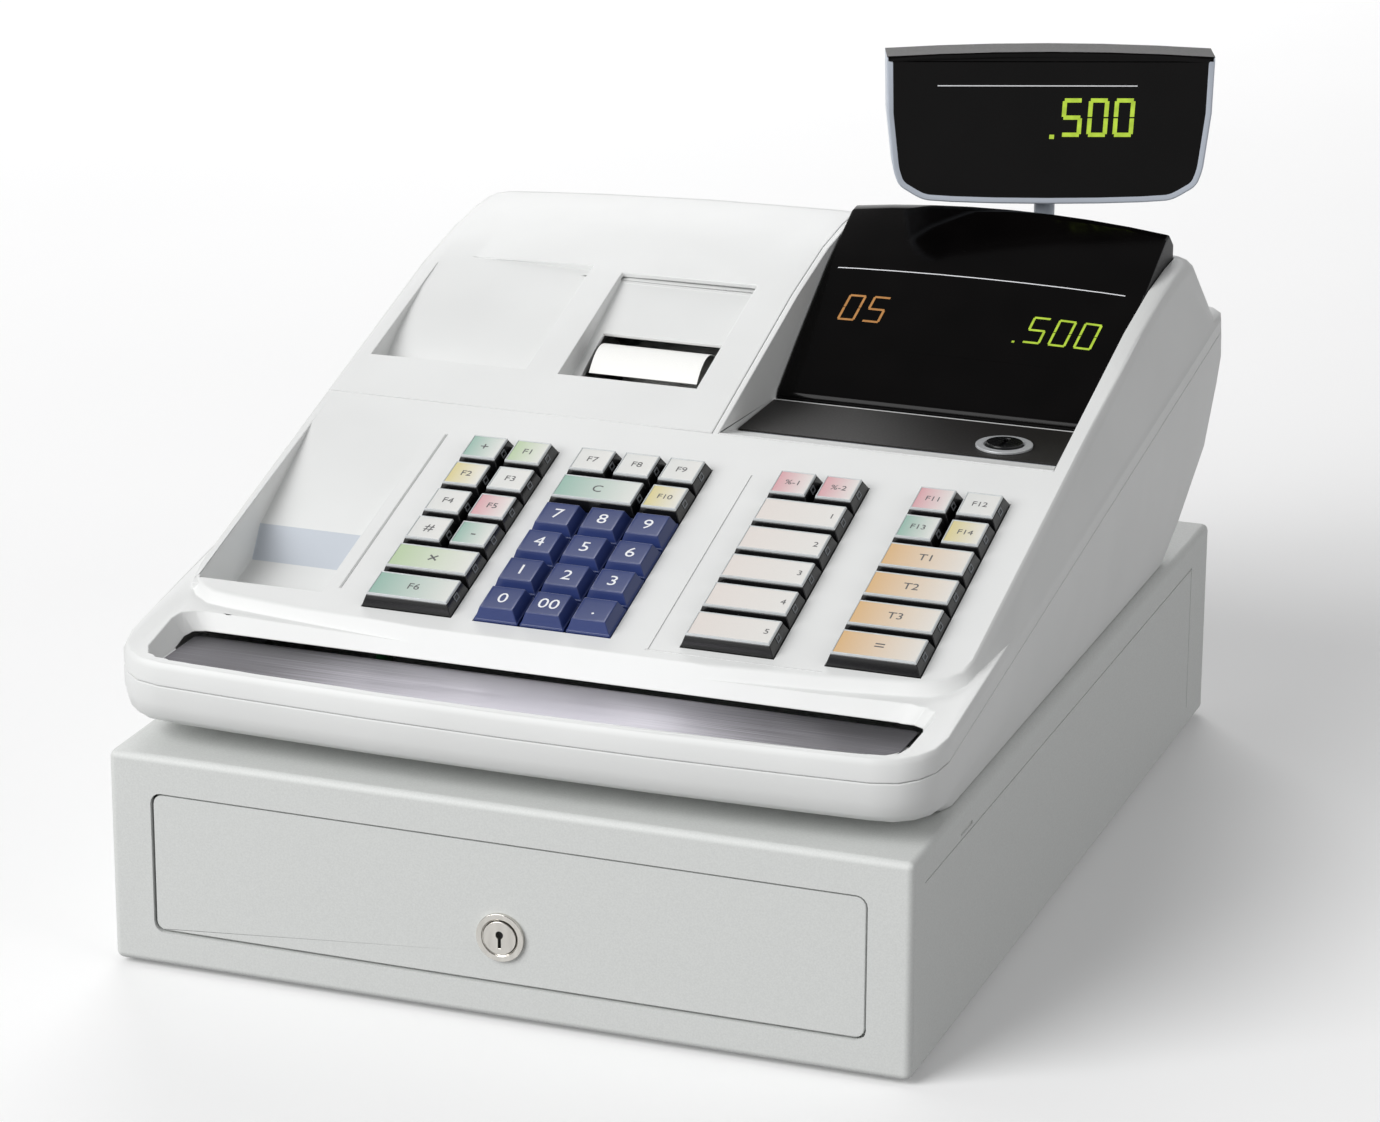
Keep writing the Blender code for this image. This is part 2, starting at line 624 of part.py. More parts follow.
def make_main_board():
    """Keyboard and processor board, parallel to the keyboard plate, on four posts."""
    board = plate_box("main_board", (-92, -146, -BOARD_DROP - 1.6), (152, -6, -BOARD_DROP), PARTS)
    board.data.materials.append(material("board"))
    chips = [(-70, 6), (-10, 14), (60, 10), (110, 7)]
    for number, (x, half) in enumerate(chips):
        join(board, plate_box(f"chip_{number}", (x - half, -100, -BOARD_DROP - 5),
                              (x + half, -100 + 2 * half, -BOARD_DROP - 1), CUTTERS))
    for number, (x, depth) in enumerate(((-84, 84), (-84, 176), (144, 84), (144, 176))):
        top = plate_height(depth) - 14.0
        join(board, cylinder(f"board_post_{number}", (x, depth, (93.6 + top) / 2), 3.5,
                             top - 93.6, "Z", CUTTERS, sides=12))
    return board


def make_transformer():
    low = CABINET_TOP + 3 + GAP
    core = box("power_transformer", (36, 285, low), (100, 340, low + 46), PARTS, "steel")
    join(core, box("winding", (46, 276, low + 9), (90, 349, low + 37), CUTTERS))
    return core


# ---------------------------------------------------------------------------------------------
# Displays
# ---------------------------------------------------------------------------------------------

def make_operator_display():
    """Black display block: a face at about 33 degrees, its top edge arched across."""
    side = [(275.9, 168.4), (275.9, 177.0), (277.4, 178.8), (300.0, 193.5), (340.0, 217.6),
            (373.0, 233.6), (379.0, 234.4), (386.4, 228.5), (386.4, 212.4), (299.8, 168.4)]
    low_x, high_x = WELL_LEFT + GAP, WELL_RIGHT - GAP
    columns = 8
    bm = bmesh.new()
    rings = []
    for column in range(columns + 1):
        share = column / columns
        bulge = 1.0 - (2 * share - 1) ** 2
        x = low_x + (high_x - low_x) * share
        ring = []
        for depth, height in side:
            lift = 4.6 * bulge * max(0.0, (height - 190.0) / 44.0) if depth < 386 else 0.0
            ring.append(bm.verts.new(place(x, depth, height + lift)))
        rings.append(ring)
    bm.faces.new(rings[0])
    bm.faces.new(rings[-1])
    for left, right in zip(rings, rings[1:]):
        for i in range(len(side)):
            k = (i + 1) % len(side)
            bm.faces.new((left[i], left[k], right[k], right[i]))
    return add_object("operator_display", to_mesh("operator_display", bm), PARTS, "gloss_black")


def make_mode_rotor():
    middle = (*MODE_AXIS, 171.5)
    return cylinder("mode_rotor", middle, MODE_RADIUS, 13.0, "Z", PARTS, "black_plastic",
                    sides=28, origin=middle)


def make_mast():
    height = (MAST_BOTTOM + HEAD_BOTTOM + 6) / 2
    mast = cylinder("display_post", (*MAST_AXIS, height), MAST_RADIUS,
                    HEAD_BOTTOM + 6 - MAST_BOTTOM, "Z", PARTS, "grey_plastic", sides=20,
                    origin=(*MAST_AXIS, HEAD_BOTTOM))
    join(mast, cylinder("mast_stop", (*MAST_AXIS, MAST_BOTTOM + 3), MAST_RADIUS + 2.5, 6.0, "Z",
                        CUTTERS, sides=20))
    return mast


def make_customer_display():
    """Flat head on the mast: a wide top, sides that draw in, and a rounded lower edge."""
    half_top, half_low, height, thick = 70.5, 58.0, 65.0, 17.0
    bottom = [(half_low * math.sin(angle), 2.6 - 2.6 * math.cos(angle))
              for angle in (math.pi / 2 * (step / 4 - 1) for step in range(9))]
    lower = [(x, z if abs(x) < half_low - 0.1 else 4.0) for x, z in bottom]
    side = [(half_low + 6.5, 8.0), (half_low + 9.0, 15.0), (half_top - 0.6, 40.0),
            (half_top, height - 2.0)]
    top = [(half_top * (1 - step / 3), height + 2.2 * (1 - (1 - step / 3) ** 2))
           for step in range(7)]
    outline = lower + side + top + [(-x, z) for x, z in reversed(side)]
    bm = bmesh.new()
    loop = [bm.verts.new(Vector((x, -13.0, z)) * MM) for x, z in outline]
    face = bm.faces.new(loop)
    grown = bmesh.ops.extrude_face_region(bm, geom=[face])["geom"]
    moved = [item for item in grown if isinstance(item, bmesh.types.BMVert)]
    bmesh.ops.translate(bm, vec=(0, thick * MM, 0), verts=moved)
    bmesh.ops.remove_doubles(bm, verts=bm.verts, dist=0.0001)
    head = add_object("customer_display", to_mesh("customer_display", bm), PARTS, "grey_plastic")
    head.location = place(*MAST_AXIS, HEAD_BOTTOM)
    head.rotation_euler = (0, 0, HEAD_YAW)
    socket = cylinder("mast_socket", (*MAST_AXIS, HEAD_BOTTOM), MAST_RADIUS + GAP,
                      2 * (6 + GAP), "Z", CUTTERS)
    neck = cylinder("head_neck", (*MAST_AXIS, HEAD_BOTTOM + 6), MAST_RADIUS + 3.4, 12.0, "Z",
                    CUTTERS)
    join(head, neck)
    cut(head, socket)
    return head


# ---------------------------------------------------------------------------------------------
# Keys
# ---------------------------------------------------------------------------------------------

# Middle of each group's first column, and its number of columns
GROUPS = ((-75.9, 2), (-28.4, 3), (57.8, 2), (116.6, 2))

# Per group: rows of (name, first column, columns it spans)
KEYS = (
    ((("key_feed_a", 0, 1), ("key_feed_b", 1, 1)),
     (("key_function_a", 0, 1), ("key_function_b", 1, 1)),
     (("key_open", 0, 1), ("key_void_all", 1, 1)),
     (("key_number_sign", 0, 1), ("key_void", 1, 1)),
     (("key_multiply", 0, 2),),
     (("key_receipt_copy", 0, 2),)),
    ((("key_after_receipt", 0, 1), ("key_receipt_feed", 1, 1), ("key_journal_feed", 2, 1)),
     (("key_clear", 0, 2), ("key_ten_thousand", 2, 1)),
     (("key_digit_7", 0, 1), ("key_digit_8", 1, 1), ("key_digit_9", 2, 1)),
     (("key_digit_4", 0, 1), ("key_digit_5", 1, 1), ("key_digit_6", 2, 1)),
     (("key_digit_1", 0, 1), ("key_digit_2", 1, 1), ("key_digit_3", 2, 1)),
     (("key_digit_0", 0, 1), ("key_digit_00", 1, 1), ("key_point", 2, 1))),
    ((("key_percent_1", 0, 1), ("key_percent_2", 1, 1)),
     (("key_department_1", 0, 2),),
     (("key_department_2", 0, 2),),
     (("key_department_3", 0, 2),),
     (("key_department_4", 0, 2),),
     (("key_department_5", 0, 2),)),
    ((("key_discount", 0, 1), ("key_guests", 1, 1)),
     (("key_coupon", 0, 1), ("key_exchange", 1, 1)),
     (("key_card_total", 0, 2),),
     (("key_charge_total", 0, 2),),
     (("key_subtotal", 0, 2),),
     (("key_cash_total", 0, 2),)),
)
BLUE = ("key_digit", "key_point")


def key_mesh(span, look):
    """A key from its stem up: stem, skirt that fills the window, and the drawn-in cap."""
    extra = (span - 1) * PITCH_X / 2
    base_x, base_y = KEY_BASE[0] + extra, KEY_BASE[1]
    crown_x, crown_y = KEY_CROWN[0] + extra, KEY_CROWN[1]
    levels = ((3.0, 3.0, -BOARD_DROP + KEY_TRAVEL + GAP), (3.0, 3.0, -3.4),
              (base_x, base_y, -3.4), (base_x, base_y, 0.6),
              (crown_x + 0.25, crown_y + 0.25, KEY_TOP - 0.4), (crown_x, crown_y, KEY_TOP))
    bm = bmesh.new()
    rings = [[bm.verts.new(Vector((sx * hx, sy * hy, z)) * MM)
              for sx, sy in ((-1, -1), (1, -1), (1, 1), (-1, 1))] for hx, hy, z in levels]
    bm.faces.new(rings[0])
    bm.faces.new(rings[-1])
    for lower, upper in zip(rings, rings[1:]):
        for i in range(4):
            k = (i + 1) % 4
            bm.faces.new((lower[i], lower[k], upper[k], upper[i]))
    mesh = to_mesh(f"key_{span}_{look}", bm)
    mesh.materials.append(material(look))
    return mesh


def make_keys():
    shapes = {(span, look): key_mesh(span, look)
              for span in (1, 2) for look in ("silver_label", "blue_plastic")}
    for (left, _), rows in zip(GROUPS, KEYS):
        for row, keys in enumerate(rows):
            for name, column, span in keys:
                look = "blue_plastic" if name.startswith(BLUE) else "silver_label"
                key = bpy.data.objects.new(name, shapes[span, look])
                PARTS.objects.link(key)
                middle = left + (column + (span - 1) / 2) * PITCH_X
                key.matrix_world = plate_frame(middle, ROW_ONE - row * PITCH_Y, 0.0)


clear_scene()
PARTS = new_collection("cash_register")
CUTTERS = new_collection("cutters")

make_cabinet()
make_drawer()
make_lock_plug()
make_coin_tray()
make_bill_clips()
make_lower_case()
make_upper_case()
make_printer_cover()
make_palm_plate()
make_printer()
make_roll("journal_roll", JOURNAL_X)
make_roll("receipt_roll", RECEIPT_X)
make_main_board()
make_transformer()
make_operator_display()
make_mode_rotor()
make_mast()
make_customer_display()
make_keys()
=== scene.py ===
"""Finished look of an electronic cash register.

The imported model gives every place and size. Lengths that are this file's own are written in
millimetres through MM. X runs to the operator's right, Y away from the operator and Z up.
"""

import json
import math

import bmesh
import bpy
from mathutils import Matrix, Vector

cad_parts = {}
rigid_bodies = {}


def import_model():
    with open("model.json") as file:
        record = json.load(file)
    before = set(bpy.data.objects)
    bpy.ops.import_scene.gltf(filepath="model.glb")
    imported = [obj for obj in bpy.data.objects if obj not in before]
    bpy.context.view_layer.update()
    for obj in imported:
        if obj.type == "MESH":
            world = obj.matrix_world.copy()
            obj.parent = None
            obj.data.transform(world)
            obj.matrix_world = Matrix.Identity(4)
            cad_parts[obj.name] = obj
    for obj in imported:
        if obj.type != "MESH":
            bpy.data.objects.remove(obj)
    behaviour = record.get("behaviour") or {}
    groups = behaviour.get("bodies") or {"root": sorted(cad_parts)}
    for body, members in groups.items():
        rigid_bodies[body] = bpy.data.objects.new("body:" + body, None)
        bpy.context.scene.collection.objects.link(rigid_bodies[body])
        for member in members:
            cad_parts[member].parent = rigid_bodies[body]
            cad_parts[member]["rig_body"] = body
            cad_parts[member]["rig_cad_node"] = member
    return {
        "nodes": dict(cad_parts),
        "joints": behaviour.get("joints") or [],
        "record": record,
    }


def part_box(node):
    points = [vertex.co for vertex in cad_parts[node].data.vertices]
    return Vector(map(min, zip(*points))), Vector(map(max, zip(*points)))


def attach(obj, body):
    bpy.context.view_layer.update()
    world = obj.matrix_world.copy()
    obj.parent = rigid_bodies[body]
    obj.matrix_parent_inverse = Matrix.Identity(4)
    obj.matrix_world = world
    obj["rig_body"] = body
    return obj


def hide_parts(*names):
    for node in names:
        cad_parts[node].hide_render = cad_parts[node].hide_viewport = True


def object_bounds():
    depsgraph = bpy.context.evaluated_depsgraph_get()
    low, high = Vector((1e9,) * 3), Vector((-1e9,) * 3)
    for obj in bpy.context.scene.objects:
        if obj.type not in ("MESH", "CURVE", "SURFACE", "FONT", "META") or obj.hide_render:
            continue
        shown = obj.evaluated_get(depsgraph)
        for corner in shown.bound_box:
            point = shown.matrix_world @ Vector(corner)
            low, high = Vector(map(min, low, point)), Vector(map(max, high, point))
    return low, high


bl_info = {
    "name": "Cash Register Finish",
    "version": (1, 0, 0),
    "blender": (4, 5, 0),
    "location": "View3D > Sidebar > Register",
    "description": "Builds the visible pieces and materials of an electronic cash register",
    "category": "Object",
}

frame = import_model()
CAD_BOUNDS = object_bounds()
JOINTS = {joint["name"]: joint for joint in frame["joints"]}

MM = 0.001
PRESS = JOINTS["press_clear"]["axis"]
TILT = math.atan2(PRESS[1], -PRESS[2])          # slope of the keyboard
KEYBOARD = Matrix.Rotation(TILT, 4, "X")        # from the keyboard's axes to the model's
HEAD_YAW = math.radians(21.0)                   # the customer display stands turned

# Heights of a key over the keyboard plate, and distances in from its skirt
KEY_TOP = 5.5                                   # crown
LABEL_SEAT = 4.6                                # top of a labelled key's black body
SKIRT_TOP, SKIRT_BOTTOM = 0.6, -3.4             # straight skirt below the leaning sides
STEM = 5.8                                      # length of the stem under the skirt
LEAN = 2.0                                      # how far the sides lean in at the crown
CAP_INSET = 1.65                                # edge of the clear cap
RIM = 0.45                                      # width of the clear cap's rim
DISH_RIM, DISH = 1.1, 0.35                      # width of a figure key's rim, depth of its dish

LEFT_MARGIN, RIGHT_MARGIN = 14.0, 17.0          # from the keys to the lines beside them
PLATE_STRIP = (170.0, 181.0)                    # heights of the strip before the mode panel
PAPER = 0.1                                     # thickness of the paper
PAPER_DROP = 17.5                               # from the top of the window's opening to the paper
BOW, RISE = 5.0, 3.0                            # of the paper, under the window
INK = 0.06                                      # thickness of printed lines and signs
PANEL_DROP = 2.8                                # from the top of the mode switch to its panel


# ---------------------------------------------------------------------------------------------
# Colours and materials
# ---------------------------------------------------------------------------------------------

def srgb(code):
    """Linear colour of an sRGB hex value such as "D6D8D5"."""
    shares = [int(code[i:i + 2], 16) / 255 for i in (0, 2, 4)]
    return tuple(v / 12.92 if v <= 0.04045 else ((v + 0.055) / 1.055) ** 2.4 for v in shares)


def add_node(tree, kind, inputs=None, **settings):
    """Add a node, set its properties, and set or link its inputs."""
    node = tree.nodes.new(kind)
    for name, value in settings.items():
        setattr(node, name, value)
    for name, value in (inputs or {}).items():
        if isinstance(value, bpy.types.NodeSocket):
            tree.links.new(value, node.inputs[name])
        else:
            node.inputs[name].default_value = value
    return node


def start_material(name, **sockets):
    """A new material of that name with its shader's own sockets set: (tree, shader)."""
    made = bpy.data.materials.new(name)
    made.use_nodes = True
    shader = made.node_tree.nodes["Principled BSDF"]
    for socket, value in sockets.items():
        shader.inputs[socket.replace("_", " ")].default_value = value
    return made.node_tree, shader


def grain(tree, size, stretch=(1.0, 1.0, 1.0), detail=2.0):
    """Noise whose features are about size millimetres across, drawn out along each axis."""
    coordinates = add_node(tree, "ShaderNodeTexCoord")
    mapping = add_node(tree, "ShaderNodeMapping",
                       {"Vector": coordinates.outputs["Object"],
                        "Scale": [1.0 / (size * MM * along) for along in stretch]})
    noise = add_node(tree, "ShaderNodeTexNoise",
                     {"Vector": mapping.outputs["Vector"], "Scale": 1.0, "Detail": detail})
    return noise.outputs["Fac"]


def surface(tree, shader, tone, colour, spread, fine=None, rough=None, height=0.0,
            socket="Base Color"):
    """Colour a surface by one pattern, and let a finer one set its roughness and raise it.

    The colour varies by the share called spread, the roughness between two values, and the
    surface by up to height millimetres.
    """
    ramp = add_node(tree, "ShaderNodeValToRGB", {"Fac": tone})
    for element, place, share in zip(ramp.color_ramp.elements, (0.3, 0.7),
                                     (1.0 - spread, 1.0 + spread)):
        element.position = place
        element.color = (*(min(1.0, value * share) for value in colour), 1.0)
    tree.links.new(ramp.outputs["Color"], shader.inputs[socket])
    if rough:
        between = add_node(tree, "ShaderNodeMapRange",
                           {"Value": fine, "To Min": rough[0], "To Max": rough[1]})
        tree.links.new(between.outputs["Result"], shader.inputs["Roughness"])
    if height:
        bump = add_node(tree, "ShaderNodeBump",
                        {"Height": fine, "Strength": 1.0, "Distance": height * MM})
        tree.links.new(bump.outputs["Normal"], shader.inputs["Normal"])


def moulded_plastic(name, colour, rough=(0.42, 0.52), texture=0.9, height=0.012, spread=0.02):
    """Injection-moulded plastic from a spark-eroded mould: an even, very fine pebble that softens
    highlights. The real 0.3 mm grain is drawn three times coarser, so that it shows."""
    tree, shader = start_material(name, IOR=1.53)
    surface(tree, shader, grain(tree, 45.0), colour, spread,
            grain(tree, texture, detail=3.0), rough, height)


def powder_coated_steel(name, colour):
    """Sheet steel under baked powder paint: a soft orange peel about 2 mm across, and a fine
    fleck that keeps the flat sides from looking like plastic."""
    tree, shader = start_material(name, IOR=1.5)
    surface(tree, shader, grain(tree, 0.7, detail=4.0), colour, 0.05,
            grain(tree, 2.0, detail=3.0), (0.46, 0.58), 0.015)


def brushed_aluminium(name, colour):
    """Aluminium sheet brushed along its length: long hairlines, and a painted reflection that
    makes it brightest in the middle and darker towards its ends. The 0.1 mm lines are drawn four
    times wider, so that they show."""
    tree, shader = start_material(name, Metallic=1.0, Anisotropic=0.6)
    lines = grain(tree, 0.4, stretch=(150.0, 1.0, 1.0), detail=3.0)
    place = add_node(tree, "ShaderNodeSeparateXYZ",
                     {"Vector": add_node(tree, "ShaderNodeTexCoord").outputs["Object"]})
    # Painted reflection: the colour lightens towards the middle of the plate and darkens towards
    # its ends
    reach = add_node(tree, "ShaderNodeMath", {0: place.outputs["X"]}, operation="ABSOLUTE")
    painted_sheen = add_node(tree, "ShaderNodeMapRange",
                    {"Value": reach.outputs["Value"], "From Min": 20 * MM, "From Max": 130 * MM,
                     "To Min": 0.62, "To Max": 0.12}, interpolation_type="SMOOTHSTEP")
    lines_and_sheen = add_node(tree, "ShaderNodeMath", {0: lines, 1: 0.6, 2: painted_sheen.outputs["Result"]},
                    operation="MULTIPLY_ADD")
    shift = add_node(tree, "ShaderNodeMath", {0: lines_and_sheen.outputs["Value"], 1: -0.15})
    surface(tree, shader, shift.outputs["Value"], colour, 0.62, lines, (0.4, 0.55), 0.008)


def plated_metal(name, colour, rough):
    """Plated metal, with faint rubbing marks that break up its reflections."""
    tree, shader = start_material(name, Metallic=1.0)
    marks = grain(tree, 3.0, stretch=(1.0, 1.0, 4.0), detail=4.0)
    surface(tree, shader, marks, colour, 0.1, marks, rough)


def smoked_acrylic(name, colour):
    """Cast black acrylic with a smooth face: very deep black, with a slight ripple."""
    tree, shader = start_material(name, IOR=1.49, Specular_IOR_Level=0.12)
    ripple = grain(tree, 25.0, detail=1.0)
    surface(tree, shader, ripple, colour, 0.3, ripple, (0.1, 0.16), 0.01)


def printed_label(name):
    """Coated paper printed with a tint that fades across the key, under the clear cap."""
    tree, shader = start_material(name, Roughness=0.3, Coat_Weight=0.5, Coat_Roughness=0.08)
    tint = add_node(tree, "ShaderNodeAttribute", attribute_name="tint")
    shade = add_node(tree, "ShaderNodeMapRange",
                     {"Value": grain(tree, 0.4), "To Min": 0.95, "To Max": 1.03})
    mixed = add_node(tree, "ShaderNodeVectorMath",
                     {0: tint.outputs["Color"], "Scale": shade.outputs["Result"]},
                     operation="SCALE")
    tree.links.new(mixed.outputs["Vector"], shader.inputs["Base Color"])


def glowing_segment(name, colour, strength):
    """Phosphor of a fluorescent display behind its window, a little uneven along each bar."""
    tree, shader = start_material(name, Roughness=0.5, Emission_Strength=strength)
    uneven = grain(tree, 3.0, detail=1.0)
    surface(tree, shader, uneven, srgb("272719"), 0.5)
    surface(tree, shader, uneven, colour, 0.12, socket="Emission Color")


def plain_finish(name, colour, rough, size, height=0.0, spread=0.06, **sockets):
    """Any other finish: a colour and a roughness that follow one grain of a real size."""
    tree, shader = start_material(name, **sockets)
    noise = grain(tree, size, detail=3.0)
    surface(tree, shader, noise, colour, spread, noise, rough, height)


# Finish, named for the real material: the record's slot that it stands for, how it is made, its
# colour (a hex value or the name of a colour setting) and what else its maker takes
FINISHES = {
    "white_abs": ("case_plastic", moulded_plastic, "case", {}),
    # Blue-grey of the strip before the mode panel, also used as painted shade on the slip pocket's
    # sloping step
    "blue_grey_abs": ("grey_plastic", moulded_plastic, "C6CCD4", {"rough": (0.38, 0.48)}),
    "light_grey_abs": ("grey_plastic", moulded_plastic, "B9C0CB", {"rough": (0.32, 0.42)}),
    "black_abs": ("black_plastic", moulded_plastic, "0C0C0D",
                  {"rough": (0.16, 0.28), "texture": 0.6, "height": 0.004}),
    "navy_abs": ("blue_key", moulded_plastic, "figure_keys",
                 {"rough": (0.26, 0.38), "texture": 0.6, "height": 0.006, "spread": 0.08}),
    "grey_polycarbonate": ("grey_plastic", moulded_plastic, "75797D", {"rough": (0.4, 0.55)}),
    "black_polystyrene": ("tray_plastic", moulded_plastic, "1E1E1F", {"rough": (0.45, 0.6)}),
    # The cap over a label is clear: only its edges are drawn, as an opaque light silver-grey rim,
    # a painted highlight for the light that they gather
    "clear_polystyrene_edge": ("silver_key", moulded_plastic, "C9CDCE",
                               {"rough": (0.1, 0.2), "texture": 0.6, "height": 0.002}),
    "powder_coated_steel": ("cabinet_paint", powder_coated_steel, "cabinet", {}),
    "brushed_aluminium": ("brushed_plate", brushed_aluminium, "8F8D93", {}),
    "nickel_plated_brass": ("nickel", plated_metal, "CFCCC6", {"rough": (0.14, 0.26)}),
    "zinc_plated_steel": ("zinc_steel", plated_metal, "B6B8BA", {"rough": (0.3, 0.45)}),
    "smoked_acrylic": ("gloss_black", smoked_acrylic, "060505", {}),
    "printed_label": ("silver_key", printed_label, None, {}),
    "lime_phosphor": ("gloss_black", glowing_segment, "amounts", {"strength": 0.8}),
    "amber_phosphor": ("gloss_black", glowing_segment, "C98A48", {"strength": 0.75}),
    # Front panel printed black from behind, matt, and the silver paint of its ring
    "black_printed_panel": ("gloss_black", plain_finish, "201E1D",
                            {"rough": (0.45, 0.6), "size": 1.0, "height": 0.004,
                             "Specular_IOR_Level": 0.25}),
    "silver_paint": ("nickel", plain_finish, "C6C8CA",
                     {"rough": (0.3, 0.42), "size": 0.8, "height": 0.004, "Metallic": 0.3}),
    # Screen ink: a slightly chalky film
    "white_ink": ("gloss_black", plain_finish, "ECEDF0", {"rough": (0.5, 0.6), "size": 0.5}),
    "grey_ink": ("silver_key", plain_finish, "5A5A5B", {"rough": (0.5, 0.6), "size": 0.5}),
    # Thermal paper: smooth, with faint fibre
    "thermal_paper": ("paper", plain_finish, "F7F7F4",
                      {"rough": (0.7, 0.85), "size": 0.5, "height": 0.01, "spread": 0.02}),
    # Solder resist over woven glass, and the laminations of a transformer's core
    "green_solder_resist": ("board", plain_finish, "12522B",
                            {"rough": (0.25, 0.4), "size": 1.2, "height": 0.004,
                             "spread": 0.15}),
    "laminated_core_steel": ("zinc_steel", plain_finish, "626567",
                             {"rough": (0.4, 0.6), "size": 0.6, "height": 0.03, "spread": 0.2,
                              "Metallic": 1.0}),
    # Rubber of the feet: matt, with a dusty bloom
    "black_rubber": ("black_plastic", plain_finish, "222222",
                     {"rough": (0.75, 0.9), "size": 0.8, "height": 0.03, "spread": 0.2}),
    "pale_backdrop_paper": (None, plain_finish, "FDFDFD",
                            {"rough": (0.8, 0.9), "size": 400.0, "spread": 0.01}),
}


def material(name):
    """The finish of that name, made the first time that it is asked for."""
    if name not in bpy.data.materials:
        make, colour, settings = FINISHES[name][1:]
        chosen = bpy.context.scene.register_colours
        if colour:
            settings = {**settings, "colour": getattr(chosen, colour) if hasattr(chosen, colour)
                        else srgb(colour)}
        make(name, **settings)
    return bpy.data.materials[name]


# ---------------------------------------------------------------------------------------------
# Modelling helpers
# ---------------------------------------------------------------------------------------------

def focus(obj):
    """Select one object alone and make it the active one."""
    bpy.ops.object.select_all(action="DESELECT")
    obj.select_set(True)
    bpy.context.view_layer.objects.active = obj


def settle(obj, matrix=None):
    """Put an object's place, turned by matrix, into its mesh."""
    obj.data.transform((matrix or Matrix.Identity(4)) @ obj.matrix_basis)
    obj.matrix_basis = Matrix.Identity(4)
    return obj


def finish_with(obj, *names):
    """Give an object these materials, one for each slot."""
    obj.data.materials.clear()
    for name in names:
        obj.data.materials.append(material(name))
    return obj


def fit(obj, body):
    """Let a finished piece move with a body."""
    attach(obj, body)
    return obj


def apply_modifier(obj, kind, **settings):
    modifier = obj.modifiers.new(kind.lower(), kind)
    for name, value in settings.items():
        setattr(modifier, name, value)
    focus(obj)
    bpy.ops.object.modifier_apply(modifier=modifier.name)


def round_edges(obj, width, segments=3, sharper_than=30.0):
    apply_modifier(obj, "BEVEL", width=width * MM, segments=segments, limit_method="ANGLE",
                   angle_limit=math.radians(sharper_than), use_clamp_overlap=False)


def smooth(obj, angle=35.0):
    """Shade round edges smooth, and keep large flat faces flat beside them."""
    focus(obj)
    bpy.ops.object.shade_smooth_by_angle(angle=math.radians(angle))
    apply_modifier(obj, "WEIGHTED_NORMAL", keep_sharp=True, weight=100)


def soften(obj, width, segments=3, sharper_than=30.0, angle=35.0):
    """Round the edges of an object and shade it smooth."""
    round_edges(obj, width, segments, sharper_than)
    smooth(obj, angle)


def add_block(name, low, high):
    """A block between two corners in millimetres, its place in its mesh."""
    bpy.ops.object.select_all(action="DESELECT")
    centre = [(a + b) / 2 * MM for a, b in zip(low, high)]
    bpy.ops.mesh.primitive_cube_add(size=1.0, location=centre,
                                    scale=[(b - a) * MM for a, b in zip(low, high)])
    block = bpy.context.object
    block.name = block.data.name = name
    return settle(block)


def add_drum(name, centre, radius, length, axis="Z", sides=64):
    """A cylinder centred in millimetres along X, Y or Z."""
    bpy.ops.object.select_all(action="DESELECT")
    turn = {"X": (0, math.pi / 2, 0), "Y": (math.pi / 2, 0, 0), "Z": (0, 0, 0)}[axis]
    bpy.ops.mesh.primitive_cylinder_add(vertices=sides, radius=radius * MM, depth=length * MM,
                                        location=[value * MM for value in centre],
                                        rotation=turn)
    drum = bpy.context.object
    drum.name = drum.data.name = name
    return settle(drum)


def edit_all(obj):
    """Enter edit mode with everything selected."""
    focus(obj)
    bpy.ops.object.mode_set(mode="EDIT")
    bpy.ops.mesh.select_all(action="SELECT")


def edit_none(obj, kind):
    """Enter edit mode with nothing selected, to choose faces or edges from the mesh returned."""
    focus(obj)
    bpy.ops.object.mode_set(mode="EDIT")
    bpy.ops.mesh.select_mode(type=kind)
    bpy.ops.mesh.select_all(action="DESELECT")
    return bmesh.from_edit_mesh(obj.data)


def edit_faces(obj, facing, least=0.9, largest=False):
    """Enter edit mode with only the faces, or the largest face, that point one way selected."""
    shape = edit_none(obj, "FACE")
    found = [face for face in shape.faces if face.normal.dot(Vector(facing)) > least]
    if largest:
        found = [max(found, key=lambda face: face.calc_area())]
    for face in found:
        face.select_set(True)
    bmesh.update_edit_mesh(obj.data)


def extrude_by(x, y, z):
    bpy.ops.mesh.extrude_region_move(
        TRANSFORM_OT_translate={"value": (x * MM, y * MM, z * MM)})


def leave_edit():
    bpy.ops.object.mode_set(mode="OBJECT")


def cut_away(obj, tool):
    """Cut the tool's shape out of an object, and drop the tool."""
    apply_modifier(obj, "BOOLEAN", operation="DIFFERENCE", object=tool, solver="EXACT")
    bpy.data.objects.remove(tool)


def merge(objects, name):
    """One object from several, each keeping its materials."""
    focus(objects[0])
    for obj in objects:
        obj.select_set(True)
    if len(objects) > 1:
        bpy.ops.object.join()
    joined = bpy.context.object
    joined.name = joined.data.name = name
    return joined


def copy_of(obj, name):
    """A copy with its own mesh."""
    twin = obj.copy()
    twin.data = obj.data.copy()
    twin.name = twin.data.name = name
    bpy.context.scene.collection.objects.link(twin)
    return twin


def body_of(node):
    return frame["nodes"][node]["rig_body"]


def cad_copy(node, name, *looks, tools=()):
    """A copy of a node with its loose triangles merged and the tools cut out, standing for it."""
    source = frame["nodes"][node]
    piece = copy_of(source, name)
    piece.parent = None
    piece.matrix_world = Matrix.Identity(4)
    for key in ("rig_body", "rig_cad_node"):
        if key in piece:
            del piece[key]
    edit_all(piece)
    bpy.ops.mesh.remove_doubles(threshold=0.01 * MM)
    leave_edit()
    for tool in tools:
        cut_away(piece, tool)
    edit_all(piece)
    bpy.ops.mesh.dissolve_limited(angle_limit=math.radians(0.4))
    leave_edit()
    fit(finish_with(piece, *looks), body_of(node))
    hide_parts(node)
    return piece


